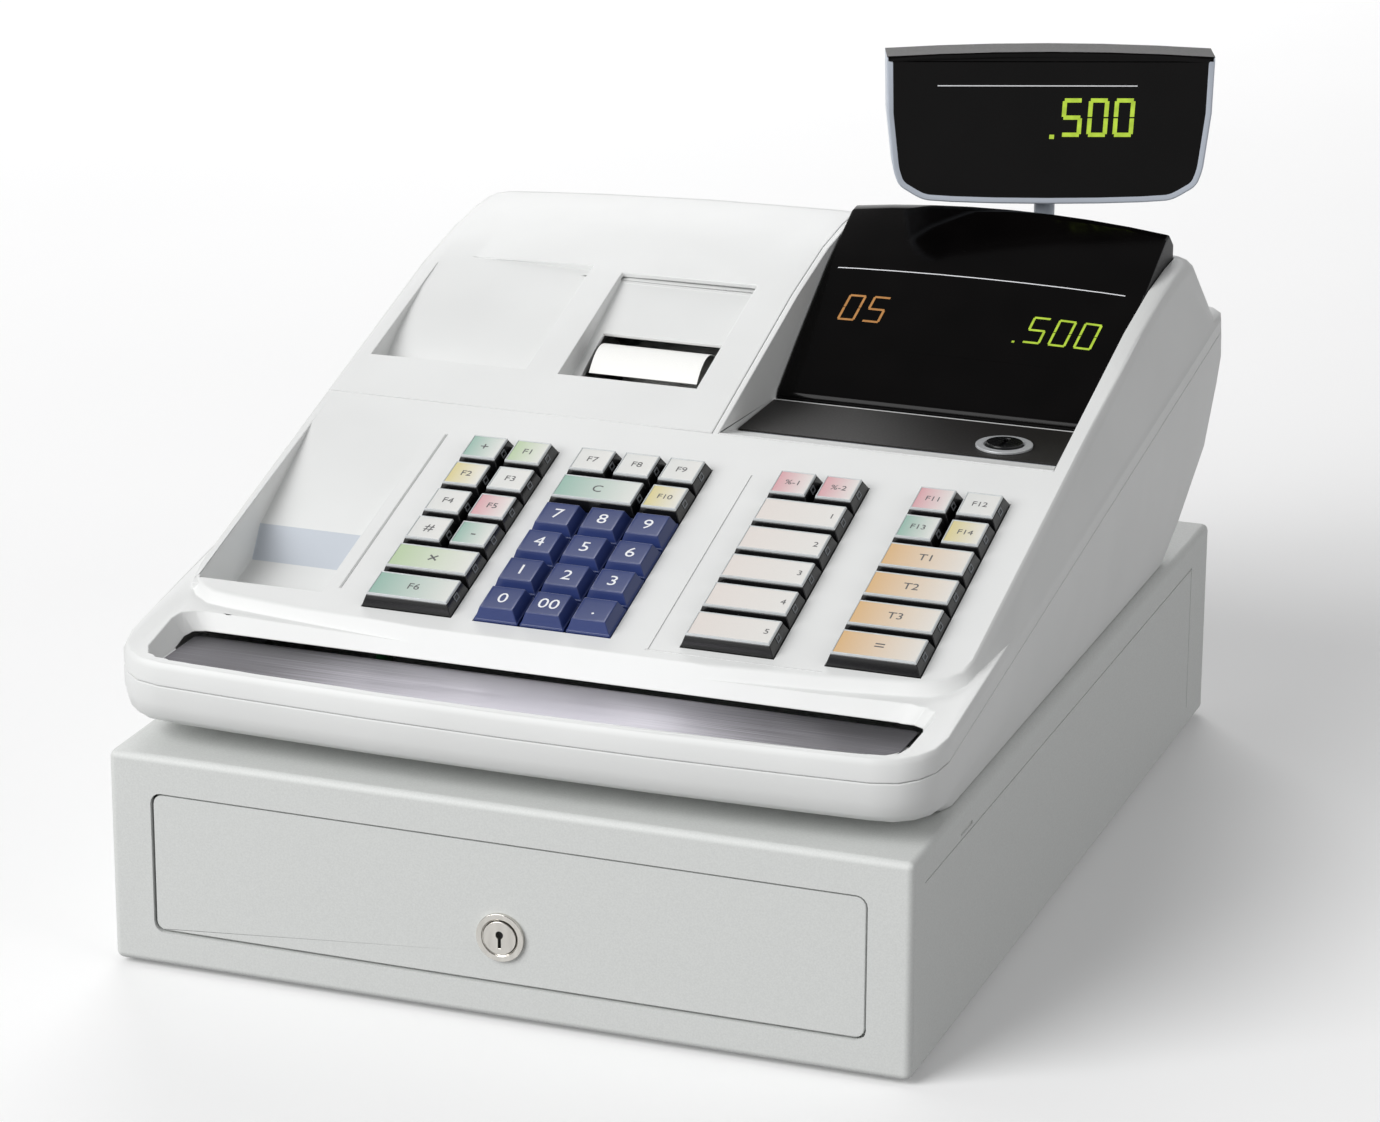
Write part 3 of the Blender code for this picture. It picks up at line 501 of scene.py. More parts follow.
def plain_copy(node, name, look, width=0.0):
    """A copy of a node of one finish, its sharp edges rounded by width millimetres."""
    piece = cad_copy(node, name, look)
    if width:
        round_edges(piece, width, 2, 50)
    smooth(piece, 30)


def add_text(name, words, height):
    """Flat lettering, centred on the origin in the XY plane."""
    bpy.ops.object.select_all(action="DESELECT")
    bpy.ops.object.text_add(location=(0, 0, 0))
    text = bpy.context.object
    text.data.body = words
    text.data.size = height * MM
    text.data.extrude = INK / 2 * MM
    text.data.align_x = text.data.align_y = "CENTER"
    text.data.resolution_u = 3
    focus(text)
    bpy.ops.object.convert(target="MESH")
    made = bpy.context.object
    made.name = made.data.name = name
    return made


def keyboard_box(node):
    """Lowest and highest corner of a node in the keyboard's own axes, in millimetres."""
    turned = KEYBOARD.inverted()
    points = [turned @ vertex.co for vertex in frame["nodes"][node].data.vertices]
    return ([min(p[i] for p in points) / MM for i in range(3)],
            [max(p[i] for p in points) / MM for i in range(3)])


def node_box(node):
    """Lowest and highest corner of a node, in millimetres."""
    low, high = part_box(node)
    return [v / MM for v in low], [v / MM for v in high]


def opening_box(name):
    """Lowest and highest corner of one of the record's openings, in millimetres."""
    opening = next(entry for entry in frame["record"]["physics"]["openings"]
                   if entry["name"] == name)
    return [[v / MM for v in corner] for corner in opening["box_m"]]


# ---------------------------------------------------------------------------------------------
# Keys
# ---------------------------------------------------------------------------------------------

WHITE, CREAM, SILVER = "E4E3DF", "E2DAD4", "DCDDDA"
TEAL, GREEN, YELLOW, PINK, PEACH = "8FB5A6", "B5CBA2", "D8CB8C", "D69FA5", "DAB27C"

# Key: sign printed on it, its height in millimetres, and the tint that fades across it
LABELS = {
    "key_feed_a": ("+", 7, TEAL), "key_feed_b": ("F1", 5, GREEN),
    "key_function_a": ("F2", 5, YELLOW), "key_function_b": ("F3", 5, SILVER),
    "key_open": ("F4", 5, SILVER), "key_void_all": ("F5", 5, PINK),
    "key_number_sign": ("#", 7, SILVER), "key_void": ("-", 8, TEAL),
    "key_multiply": ("×", 9, GREEN), "key_receipt_copy": ("F6", 5.5, TEAL),
    "key_after_receipt": ("F7", 5, SILVER), "key_receipt_feed": ("F8", 5, SILVER),
    "key_journal_feed": ("F9", 5, SILVER), "key_clear": ("C", 6.5, TEAL),
    "key_ten_thousand": ("F10", 4.5, YELLOW),
    "key_percent_1": ("%-1", 4.5, PINK), "key_percent_2": ("%-2", 4.5, PINK),
    "key_department_1": ("1", 4.5, CREAM), "key_department_2": ("2", 4.5, CREAM),
    "key_department_3": ("3", 4.5, CREAM), "key_department_4": ("4", 4.5, CREAM),
    "key_department_5": ("5", 4.5, CREAM),
    "key_discount": ("F11", 4.5, PINK), "key_guests": ("F12", 4.5, SILVER),
    "key_coupon": ("F13", 4.5, TEAL), "key_exchange": ("F14", 4.5, YELLOW),
    "key_card_total": ("T1", 6, PEACH), "key_charge_total": ("T2", 6, PEACH),
    "key_subtotal": ("T3", 6, PEACH), "key_cash_total": ("=", 8, PEACH),
}
FIGURES = {"key_digit_00": "00", "key_point": "."}


def key_body(name, half_x, half_y, crown_top, inset, dished, look):
    """Skirt, drawn-in crown and stem of a key, about the middle of its skirt."""
    body = add_block(name, (-half_x, -half_y, SKIRT_BOTTOM), (half_x, half_y, SKIRT_TOP))
    edit_faces(body, (0, 0, 1))
    if inset:
        bpy.ops.mesh.inset(thickness=inset * MM)
    extrude_by(0, 0, crown_top - SKIRT_TOP)
    share = LEAN * (crown_top - SKIRT_TOP) / (KEY_TOP - SKIRT_TOP)
    bpy.ops.transform.resize(value=(1 - share / half_x, 1 - share / half_y, 1.0),
                             center_override=(0, 0, crown_top * MM))
    if dished:
        bpy.ops.mesh.inset(thickness=DISH_RIM * MM)
        bpy.ops.transform.translate(value=(0, 0, -DISH * MM))
    leave_edit()
    edit_faces(body, (0, 0, -1))
    bpy.ops.mesh.inset(thickness=(half_y - 3.0) * MM)
    extrude_by(0, 0, -STEM)
    leave_edit()
    soften(body, 0.35)
    return finish_with(body, look)


def key_cap(name, half_x, half_y):
    """Rim of the clear cap round a key's label, standing on the crown."""
    cap = add_block(name, (-half_x + CAP_INSET, -half_y + CAP_INSET, LABEL_SEAT),
                    (half_x - CAP_INSET, half_y - CAP_INSET, KEY_TOP))
    edit_faces(cap, (0, 0, 1))
    bpy.ops.transform.resize(value=(1 - 0.35 / half_x, 1 - 0.35 / half_y, 1.0),
                             center_override=(0, 0, KEY_TOP * MM))
    bpy.ops.mesh.inset(thickness=RIM * MM)
    extrude_by(0, 0, -0.3)
    leave_edit()
    soften(cap, 0.12, 2)
    # The rim's light silver-grey is a painted highlight for the light that the clear cap's edges
    # catch
    return finish_with(cap, "clear_polystyrene_edge")


def clip_window(name, half_x):
    """Small raised frame on a key's right flank, where its clear cap is prised off."""
    clip = add_block(name, (-0.25, -1.8, -1.3), (0.25, 1.8, 1.3))
    edit_faces(clip, (1, 0, 0))
    bpy.ops.mesh.inset(thickness=0.55 * MM)
    extrude_by(-0.3, 0, 0)
    leave_edit()
    round_edges(clip, 0.1, 2)
    lean = Matrix.Rotation(-math.atan2(LEAN, KEY_TOP - SKIRT_TOP), 4, "Y")
    settle(clip, Matrix.Translation(Vector((half_x - 0.95, 0, 2.9)) * MM) @ lean)
    return finish_with(clip, "grey_polycarbonate")


def key_label(name, half_x, half_y, tint):
    """Printed card on the crown, its tint fading from the left into near white."""
    label = add_block(name, (-half_x, -half_y, KEY_TOP - 0.35), (half_x, half_y, KEY_TOP - 0.2))
    edit_all(label)
    bpy.ops.mesh.subdivide(number_cuts=3)
    leave_edit()
    colours = label.data.color_attributes.new("tint", "FLOAT_COLOR", "POINT")
    near, far = Vector(srgb(tint)), Vector(srgb(WHITE))
    for vertex, entry in zip(label.data.vertices, colours.data):
        share = 0.9 * (vertex.co.x / MM + half_x) / (2 * half_x)
        entry.color = (*near.lerp(far, share), 1.0)
    return finish_with(label, "printed_label")


def key_shapes():
    """The parts of a key of each width, made once and copied."""
    shapes = {}
    for node in ("key_feed_a", "key_multiply", "key_digit_7"):
        low, high = keyboard_box(node)
        half_x, half_y = (high[0] - low[0]) / 2, (high[1] - low[1]) / 2
        if node == "key_digit_7":
            shapes["figure"] = (key_body("key_blue", half_x, half_y, KEY_TOP, 0.4, True,
                                         "navy_abs"),)
        else:
            width = "wide" if node == "key_multiply" else "narrow"
            body = merge([key_body("key_black", half_x, half_y, LABEL_SEAT, 0.0, False,
                                   "black_abs"), clip_window("key_clip", half_x)],
                         f"key_{width}")
            shapes[width] = (body, key_cap(f"cap_{width}", half_x, half_y))
    return shapes


def seat_on_keyboard(piece, node):
    """Move a piece made round the origin to its key's place, and let it ride with the key."""
    low, high = keyboard_box(node)
    middle = Vector(((low[0] + high[0]) / 2, (low[1] + high[1]) / 2, high[2] - KEY_TOP)) * MM
    return fit(settle(piece, KEYBOARD @ Matrix.Translation(middle)), body_of(node))


class REGISTER_OT_keys(bpy.types.Operator):
    """Build all keys: bodies, printed labels, clear caps and figures"""

    bl_idname = "register.build_keys"
    bl_label = "Build Keys"

    def execute(self, context):
        shapes = key_shapes()
        for node in sorted(name for name in frame["nodes"] if name.startswith("key_")):
            low, high = keyboard_box(node)
            half_x, half_y = (high[0] - low[0]) / 2, (high[1] - low[1]) / 2
            wide = half_x > half_y * 1.5
            short = node[4:]
            if node not in LABELS:
                body = seat_on_keyboard(copy_of(shapes["figure"][0], f"body_{short}"), node)
                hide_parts(node)
                figure = add_text(f"figure_{short}", FIGURES.get(node, node[-1]), 9.0)
                figure.location.z = (KEY_TOP - 0.3) * MM
                finish_with(settle(figure), "white_ink")
                seat_on_keyboard(figure, node)
                continue
            words, height, tint = LABELS[node]
            body, cap = shapes["wide" if wide else "narrow"]
            body = seat_on_keyboard(copy_of(body, f"body_{short}"), node)
            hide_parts(node)
            seat_on_keyboard(copy_of(cap, f"cap_{short}"), node)
            label = key_label(f"label_{short}", half_x - 2.05 - RIM, half_y - 2.05 - RIM, tint)
            seat_on_keyboard(label, node)
            mark = add_text(f"mark_{short}", words, height)
            side = half_x - 5.5 if node.startswith("key_department") else 0.0
            mark.location = Vector((side, 0.0, KEY_TOP - 0.17)) * MM
            finish_with(settle(mark), "grey_ink")
            seat_on_keyboard(mark, node)
        for parts in shapes.values():
            for part in parts:
                bpy.data.objects.remove(part)
        return {"FINISHED"}


# ---------------------------------------------------------------------------------------------
# Case
# ---------------------------------------------------------------------------------------------

def groove(low, high):
    """Tool for a fine line in the keyboard plate, between two corners in the keyboard's axes."""
    return settle(add_block("groove", low, high), KEYBOARD)


class REGISTER_OT_case(bpy.types.Operator):
    """Build the moulded case, its printer cover and the palm plate"""

    bl_idname = "register.build_case"
    bl_label = "Build Case"

    def execute(self, context):
        look = context.scene.register_case
        plate = keyboard_box("key_clear")[1][2] - KEY_TOP
        rows = keyboard_box("key_feed_a")[1][1], keyboard_box("key_digit_0")[0][1]
        left = keyboard_box("key_feed_a")[0][0] - LEFT_MARGIN
        between = keyboard_box("key_point")[1][0] + RIGHT_MARGIN
        deep, wide = look.groove_depth / MM, look.groove_width / MM
        last = keyboard_box("key_cash_total")[0][0]
        upper = cad_copy("upper_case", "case_upper_shell", "white_abs", "blue_grey_abs", tools=(
            groove((left, rows[1] + 10, plate - deep), (left + wide, rows[0] + 4, plate + 2)),
            groove((between, rows[1] - 4, plate - deep), (between + wide, rows[0], plate + 2)),
            groove((between - 1, rows[1] - 4 - wide, plate - deep),
                   (last, rows[1] - 4, plate + 2))))
        well, pocket = node_box("operator_display"), opening_box("slip_pocket")
        # The strip before the mode panel is given a blue-grey; the sloping faces of the slip
        # pocket's step get the same darker grey as painted shade
        for face in upper.data.polygons:
            x, y, z = face.center / MM
            strip = (well[0][0] < x < well[1][0] and face.normal.z > 0.9
                     and rows[0] < y < node_box("mode_rotor")[0][1]
                     and PLATE_STRIP[0] < z < PLATE_STRIP[1])
            painted_shade_step = (pocket[0][0] - 2 < x < pocket[1][0] + 2
                    and pocket[0][1] + 5 < y < pocket[1][1] + 20
                    and 0.5 < (KEYBOARD.inverted() @ face.normal).z < 0.9)
            face.material_index = int(strip or painted_shade_step)
        self.round_outer_edges(upper, look.edge_radius, plate)
        smooth(upper, 25)
        for node, name in (("lower_case", "case_lower_shell"), ("printer_cover", "cover_shell")):
            soften(cad_copy(node, name, "white_abs"), look.edge_radius / MM, 2, 40, 25)
        # The cover's skin is open for 2 mm behind the receipt recess's ramp; this strip closes it
        lip = settle(add_block("recess_lip", (-69.5, 144.0, plate - 1.9),
                               (-6.5, 150.5, plate + 0.2)), KEYBOARD)
        round_edges(lip, 0.2, 2)
        fit(finish_with(lip, "white_abs"), body_of("printer_cover"))
        soften(cad_copy("palm_plate", "palm_strip", "brushed_aluminium"), 0.15, 2)
        return {"FINISHED"}

    def round_outer_edges(self, case, radius, plate):
        """Round the upper case's sharp edges, apart from the windows that the keys stand in."""
        left, right = keyboard_box("key_feed_a")[0][0], keyboard_box("key_cash_total")[1][0]
        front, rear = keyboard_box("key_digit_0")[0][1], keyboard_box("key_feed_a")[1][1]
        shape = edit_none(case, "EDGE")
        for edge in shape.edges:
            x, y, z = KEYBOARD.inverted() @ (edge.verts[0].co + edge.verts[1].co) / 2 / MM
            window = left - 3 < x < right + 3 and front - 5 < y < rear + 3 and z < plate + 3
            edge.select_set(edge.calc_face_angle(0.0) > math.radians(40) and not window)
        bmesh.update_edit_mesh(case.data)
        bpy.ops.mesh.bevel(offset=radius, segments=2, affect="EDGES", clamp_overlap=False)
        leave_edit()


# ---------------------------------------------------------------------------------------------
# Cabinet and drawer
# ---------------------------------------------------------------------------------------------

class REGISTER_OT_cabinet(bpy.types.Operator):
    """Build the cabinet, the drawer with its lock, the coin tray and the feet"""

    bl_idname = "register.build_cabinet"
    bl_label = "Build Cabinet"

    def execute(self, context):
        plain_copy("drawer_cabinet", "cabinet_shell", "powder_coated_steel")
        plain_copy("cash_drawer", "drawer_shell", "powder_coated_steel", 0.5)
        low, high = node_box("drawer_lock_plug")
        height = (low[2] + high[2]) / 2
        radius = (high[0] - low[0]) / 2
        face = low[1]
        ring = add_drum("lock_ring", (0, face + 1.1, height), radius + 3.0, 1.8, "Y")
        edit_faces(ring, (0, -1, 0))
        bpy.ops.mesh.inset(thickness=2.3 * MM)
        extrude_by(0, 0.5, 0)
        leave_edit()
        cut_away(ring, add_drum("ring_bore", (0, face, height), radius + 0.25, 20.0, "Y"))
        soften(ring, 0.3)
        fit(finish_with(ring, "nickel_plated_brass"), "drawer")
        plug = cad_copy("drawer_lock_plug", "lock_plug_faced", "nickel_plated_brass")
        cut_away(plug, add_drum("key_hole", (0, face, height + 1.2), 1.5, 8.0, "Y", 24))
        cut_away(plug, add_block("key_slot", (-0.6, face - 4, height - 4.2),
                                 (0.6, face + 4, height + 1.2)))
        soften(plug, 0.3)
        # A black block behind the key hole and slot stands for the shade deep in the keyway:
        # painted shade
        well = add_block("lock_tumblers", (-2.2, face + 2.6, height - 4.4),
                         (2.2, face + 3.4, height + 3.0))
        round_edges(well, 0.2, 2)
        fit(finish_with(well, "black_polystyrene"), "lock_plug")
        for x in (-1, 1):
            for name in ("foot_front_right", "foot_rear_right"):
                at = next(m for m in frame["record"]["mounts"] if m["name"] == name)["pos_m"]
                pad = add_drum(f"foot_pad_{name[5:-6]}_{x + 1}",
                               (x * at[0] / MM, at[1] / MM, 0.9), 8.2, 1.6, "Z", 40)
                edit_faces(pad, (0, 0, -1))
                bpy.ops.mesh.inset(thickness=1.2 * MM)
                leave_edit()
                soften(pad, 0.3, 2)
                fit(finish_with(pad, "black_rubber"), "housing")
        plain_copy("coin_tray", "money_tray", "black_polystyrene", 0.4)
        plain_copy("bill_clips", "note_clips", "zinc_plated_steel")
        return {"FINISHED"}


# ---------------------------------------------------------------------------------------------
# Printer and the inside
# ---------------------------------------------------------------------------------------------

class REGISTER_OT_printer(bpy.types.Operator):
    """Build the printer, the paper and what else the case holds"""

    bl_idname = "register.build_printer"
    bl_label = "Build Printer"

    def execute(self, context):
        plain_copy("printer_unit", "printer_frame", "grey_polycarbonate", 0.4)
        for node in ("receipt_roll", "journal_roll"):
            plain_copy(node, f"{node[:-5]}_paper", "thermal_paper", 0.5)
        (x0, y0, _), (x1, y1, z1) = opening_box("paper_window")
        roll_low, roll_high = node_box("receipt_roll")
        sheet = paper_strip(x0 + 0.5, x1 - 1.5, y0 - 1.5, y1 + 2.0, z1 - PAPER_DROP,
                            (roll_low[1] + roll_high[1]) / 2 - 6.0, roll_high[2] + 0.1)
        fit(sheet, "housing")
        inlet = opening_box("mains_inlet")
        middle_x = (inlet[0][0] + inlet[1][0]) / 2
        deepest, middle_z = inlet[0][1], (inlet[0][2] + inlet[1][2]) / 2
        pins = []
        for x, z in ((-4.2, -1.0), (0.0, 1.6), (4.2, -1.0)):
            pin = add_block("pin", (middle_x + x - 0.9, deepest - 1.5, middle_z + z - 0.5),
                            (middle_x + x + 0.9, deepest + 11.0, middle_z + z + 0.5))
            round_edges(pin, 0.25, 2)
            pins.append(finish_with(pin, "nickel_plated_brass"))
        fit(merge(pins, "inlet_pins"), "housing")
        plain_copy("main_board", "logic_board", "green_solder_resist")
        plain_copy("power_transformer", "mains_transformer", "laminated_core_steel", 0.8)
        return {"FINISHED"}


def paper_strip(x0, x1, front, rear, height, roll_y, roll_top):
    """The paper behind the window, bowed up towards the operator, and back over its roll."""
    strip = add_block("receipt_strip", (x0, front, height - PAPER), (x1, roll_y, height))
    edit_all(strip)
    bpy.ops.mesh.subdivide(number_cuts=31)
    leave_edit()
    middle, half = (front + rear) / 2, (rear - front) / 2
    for vertex in strip.data.vertices:
        share = min((vertex.co.y / MM - middle) / half, 1.0)
        vertex.co.z += (BOW * (1.0 - share * share) + RISE * share) * MM
        past = max(0.0, (vertex.co.y / MM - rear) / (roll_y - rear))
        vertex.co.z += past * (roll_top - height - RISE) * MM
    smooth(strip)
    return finish_with(strip, "thermal_paper")


# ---------------------------------------------------------------------------------------------
# Displays
# ---------------------------------------------------------------------------------------------

# Bars of a seven-segment figure: middle of each bar, in halves of the figure's width and
# height, and whether it stands upright
BARS = {"a": (0, 1, False), "b": (1, 0.5, True), "c": (1, -0.5, True), "d": (0, -1, False),
        "e": (-1, -0.5, True), "f": (-1, 0.5, True), "g": (0, 0, False)}
LIT = {"0": "abcdef", "5": "acdfg"}


def segment_figures(name, words, height, look, pitch=0.74, bar=0.115, lean=0.12):
    """Seven-segment figures in the XY plane, their last one ending at x = 0."""
    width = height * 0.52
    thick = height * bar
    parts = []
    for place, figure in enumerate(reversed(words)):
        middle = -(width / 2 + place * height * pitch)
        if figure == ".":
            middle += height * (pitch - 0.52) * 0.9
            parts.append(add_block("dot", (middle, -height / 2 - thick / 2, 0),
                                   (middle + thick * 1.1, -height / 2 + thick / 2, 0.08)))
            continue
        for letter in LIT[figure]:
            across, up, upright = BARS[letter]
            half = (height / 4 if upright else width / 2) - thick * 0.42
            x, y = middle + across * (width / 2 - thick / 2), up * (height / 2 - thick / 2)
            reach = (thick / 2, half) if upright else (half, thick / 2)
            parts.append(add_block("bar", (x - reach[0], y - reach[1], 0),
                                   (x + reach[0], y + reach[1], 0.08)))
    figures = merge(parts, name)
    round_edges(figures, 0.03, 1, 60)
    shear = Matrix.Identity(4)
    shear[0][1] = lean
    settle(figures, shear)
    return finish_with(figures, look)


def thin_line(name, length):
    """Printed rule in the XY plane, divided so that it can follow a bowed surface."""
    line = add_block(name, (-length / 2, 0, 0), (length / 2, 0.45, INK))
    edit_all(line)
    bpy.ops.mesh.subdivide(number_cuts=24)
    leave_edit()
    return finish_with(line, "white_ink")


def lay_on(drawing, surface, matrix):
    """Lay a flat drawing on a surface, along the way that the drawing's own plane faces."""
    settle(drawing, matrix)
    up = (matrix.to_3x3() @ Vector((0, 0, 1))).normalized()
    flat = matrix.translation.dot(up)
    for vertex in drawing.data.vertices:
        above = vertex.co.dot(up) - flat
        hit, spot = surface.ray_cast(vertex.co + up * 0.02, -up)[:2]
        if not hit:
            raise RuntimeError(f"{drawing.name} reaches past {surface.name}")
        vertex.co = spot + up * (above + 0.05 * MM)
    return drawing


def operator_face():
    """Matrix from a flat drawing to the operator display's sloping face, x to the right."""
    shape = frame["nodes"]["operator_display"].data
    low, high = node_box("operator_display")
    faces = [face for face in shape.polygons if face.normal.y < -0.3 and face.normal.z > 0.5
             and face.center.z / MM > (low[2] + high[2]) / 2 - 8]
    normal = Vector((0, sum(f.normal.y * f.area for f in faces),
                     sum(f.normal.z * f.area for f in faces))).normalized()
    centre = sum((face.center * face.area for face in faces), Vector()) / sum(
        face.area for face in faces)
    slope = normal.cross(Vector((1, 0, 0)))
    turn = Matrix((Vector((1, 0, 0)), -slope if slope.z < 0 else slope, normal)).transposed()
    centre.x = (low[0] + high[0]) / 2 * MM
    return Matrix.Translation(centre) @ turn.to_4x4()


class REGISTER_OT_operator_display(bpy.types.Operator):
    """Build the operator display, its figures and the mode switch's panel"""

    bl_idname = "register.build_operator_display"
    bl_label = "Build Operator Display"

    def execute(self, context):
        block = cad_copy("operator_display", "operator_window", "smoked_acrylic",
                         "black_polystyrene")
        for face in block.data.polygons:
            face.material_index = int(abs(face.normal.x) > 0.9)
        soften(block, 1.2, 3, 25, 40)
        face = operator_face()
        drawings = (
            (segment_figures("operator_amount", ".500", 15.0, "lime_phosphor", bar=0.07),
             (57.0, -23.0)),
            (segment_figures("operator_department", "05", 15.0, "amber_phosphor", bar=0.07),
             (-37.0, -20.5)),
            (thin_line("operator_line", 128.0), (-1.0, 2.0)),
        )
        for drawing, (x, y) in drawings:
            lay_on(drawing, block, face @ Matrix.Translation(Vector((x, y, 0)) * MM))
            fit(drawing, "housing")
        self.mode_panel()
        return {"FINISHED"}

    def mode_panel(self):
        """Black panel and bright ring round the mode switch, and the switch's slotted barrel."""
        well = node_box("operator_display")
        rotor_low, rotor_high = node_box("mode_rotor")
        x0, x1 = well[0][0] + 0.6, well[1][0] - 0.6
        front, rear = rotor_low[1] - 8.0, well[0][1] - 1.5
        floor = rotor_high[2] - PANEL_DROP
        centre = [(a + b) / 2 for a, b in zip(rotor_low, rotor_high)]
        radius = (rotor_high[0] - rotor_low[0]) / 2
        panel = add_block("mode_panel", (x0, front, floor + 0.05), (x1, rear - 3.5, floor + 0.75))
        cut_away(panel, add_drum("panel_bore", (centre[0], centre[1], floor), radius + 0.6, 12.0))
        soften(panel, 0.25, 2)
        fit(finish_with(panel, "black_printed_panel"), "housing")
        ring = add_drum("mode_ring", (centre[0], centre[1], floor + 1.3), 11.8, 1.1)
        edit_faces(ring, (0, 0, 1))
        bpy.ops.mesh.inset(thickness=3.4 * MM)
        extrude_by(0, 0, -0.5)
        leave_edit()
        cut_away(ring, add_drum("ring_bore", (centre[0], centre[1], floor), radius + 0.4, 12.0))
        soften(ring, 0.25)
        fit(finish_with(ring, "silver_paint"), "housing")
        rotor = cad_copy("mode_rotor", "mode_barrel", "black_abs")
        cut_away(rotor, add_block("rotor_slot",
                                  (centre[0] - 0.9, centre[1] - 5.2, rotor_high[2] - 2),
                                  (centre[0] + 0.9, centre[1] + 5.2, rotor_high[2] + 2)))
        soften(rotor, 0.4)


class REGISTER_OT_customer_display(bpy.types.Operator):
    """Build the customer display's frame, window and figures, and its mast"""

    bl_idname = "register.build_customer_display"
    bl_label = "Build Customer Display"

    def execute(self, context):
        axis = Vector(JOINTS["head_turn"]["pos_m"])
        facing = Matrix.Rotation(HEAD_YAW, 4, "Z") @ Vector((0, -1, 0))
        across = facing.cross(Vector((0, 0, 1)))
        head = cad_copy("customer_display", "head_frame", "light_grey_abs", "smoked_acrylic",
                        "black_printed_panel")
        self.round_corners(head, axis, facing)
        edit_faces(head, facing, 0.99, largest=True)
        bpy.ops.mesh.inset(thickness=0.6 * MM)
        bpy.ops.transform.translate(value=facing * 0.45 * MM)
        bpy.ops.mesh.inset(thickness=2.0 * MM)
        bpy.ops.mesh.extrude_region_move(
            TRANSFORM_OT_translate={"value": facing * -0.5 * MM})
        top = CAD_BOUNDS[1][2] - 4.2 * MM
        shape = bmesh.from_edit_mesh(head.data)
        for face in shape.faces:
            upper = face.calc_center_median().z > top and abs(face.normal.dot(across)) < 0.5
            if face.select or (upper and face.normal.dot(facing) > 0.5):
                face.material_index = 1
            elif upper and face.normal.z > 0.5:
                face.material_index = 2
        bmesh.update_edit_mesh(head.data)
        leave_edit()
        smooth(head, 35)
        upright = Matrix.Rotation(HEAD_YAW, 4, "Z") @ Matrix.Rotation(math.pi / 2, 4, "X")
        place = Matrix.Translation(axis) @ upright
        drawings = (
            (segment_figures("customer_amount", ".500", 17.0, "lime_phosphor", pitch=0.66,
                             bar=0.11, lean=0.05), (36.5, 38.3)),
            (thin_line("customer_line", 86.0), (-5.5, 52.0)),
        )
        for drawing, (x, y) in drawings:
            lay_on(drawing, head, place @ Matrix.Translation(Vector((x, y, 13.0)) * MM))
            fit(drawing, "display_head")
        plain_copy("display_post", "mast_tube", "light_grey_abs")
        return {"FINISHED"}

    def round_corners(self, head, axis, facing):
        """Round the lower corners of the head, seen from its front."""
        across = facing.cross(Vector((0, 0, 1)))
        shape = edit_none(head, "EDGE")
        for edge in shape.edges:
            run = edge.verts[1].co - edge.verts[0].co
            middle = (edge.verts[0].co + edge.verts[1].co) / 2 - axis
            along = abs(run.normalized().dot(facing)) > 0.99 and run.length > 10 * MM
            corner = (abs(middle.dot(across)) > 50 * MM and middle.z < 20 * MM
                      and edge.calc_face_angle(0.0) > math.radians(10))
            edge.select_set(along and corner)
        bmesh.update_edit_mesh(head.data)
        bpy.ops.mesh.bevel(offset=2.6 * MM, segments=4, affect="EDGES", clamp_overlap=True)
        leave_edit()


# ---------------------------------------------------------------------------------------------
# Stage
# ---------------------------------------------------------------------------------------------

def add_area_light(name, place, aim, size, power):
    bpy.ops.object.select_all(action="DESELECT")
    bpy.ops.object.light_add(type="AREA", location=place)
    light = bpy.context.object
    light.name = name
    light.data.size = size
    light.data.energy = power
    light.rotation_euler = (Vector(aim) - Vector(place)).to_track_quat("-Z", "Y").to_euler()


class REGISTER_OT_stage(bpy.types.Operator):
    """Set up the pale floor, the soft light and the camera"""

    bl_idname = "register.build_stage"
    bl_label = "Build Stage"

    def execute(self, context):
        stage = context.scene.register_stage
        bpy.ops.object.select_all(action="DESELECT")
        bpy.ops.mesh.primitive_plane_add(size=stage.floor_size, location=(0, 0, 0))
        floor = bpy.context.object
        floor.name = "floor"
        finish_with(floor, "pale_backdrop_paper")
        floor.visible_diffuse = False           # its light would wash out the shaded side
        middle = (0, 0, 0.12)
        add_area_light("main_light", (-2.76, -4.06, 3.20), middle, 4.0, stage.main_power)
        add_area_light("right_light", (2.3, -0.5, 1.3), middle, 1.8, stage.right_power)
        add_area_light("rear_light", (-1.0, 2.5, 1.6), middle, 1.8, stage.rear_power)
        world = bpy.data.worlds.new("soft_room")
        world.use_nodes = True
        tree = world.node_tree
        sight = add_node(tree, "ShaderNodeLightPath")
        glow = add_node(tree, "ShaderNodeMapRange",
                        {"Value": sight.outputs["Is Camera Ray"],
                         "To Min": stage.room_brightness, "To Max": 1.0})
        background = tree.nodes["Background"]
        background.inputs["Color"].default_value = (*srgb("FBFBFC"), 1.0)
        tree.links.new(glow.outputs["Result"], background.inputs["Strength"])
        context.scene.world = world
        context.scene.view_settings.view_transform = "Standard"
        bpy.ops.object.select_all(action="DESELECT")
        bpy.ops.object.camera_add(location=stage.camera_place)
        camera = bpy.context.object
        turn = (Matrix.Rotation(stage.camera_azimuth, 4, "Z")
                @ Matrix.Rotation(math.pi / 2 - stage.camera_elevation, 4, "X")
                @ Matrix.Rotation(stage.camera_roll, 4, "Z"))
        camera.matrix_world = Matrix.Translation(Vector(stage.camera_place)) @ turn
        camera.data.lens = stage.lens
        camera.data.clip_end = 50.0
        context.scene.camera = camera
        return {"FINISHED"}


# ---------------------------------------------------------------------------------------------
# Settings, panel and registration
# ---------------------------------------------------------------------------------------------

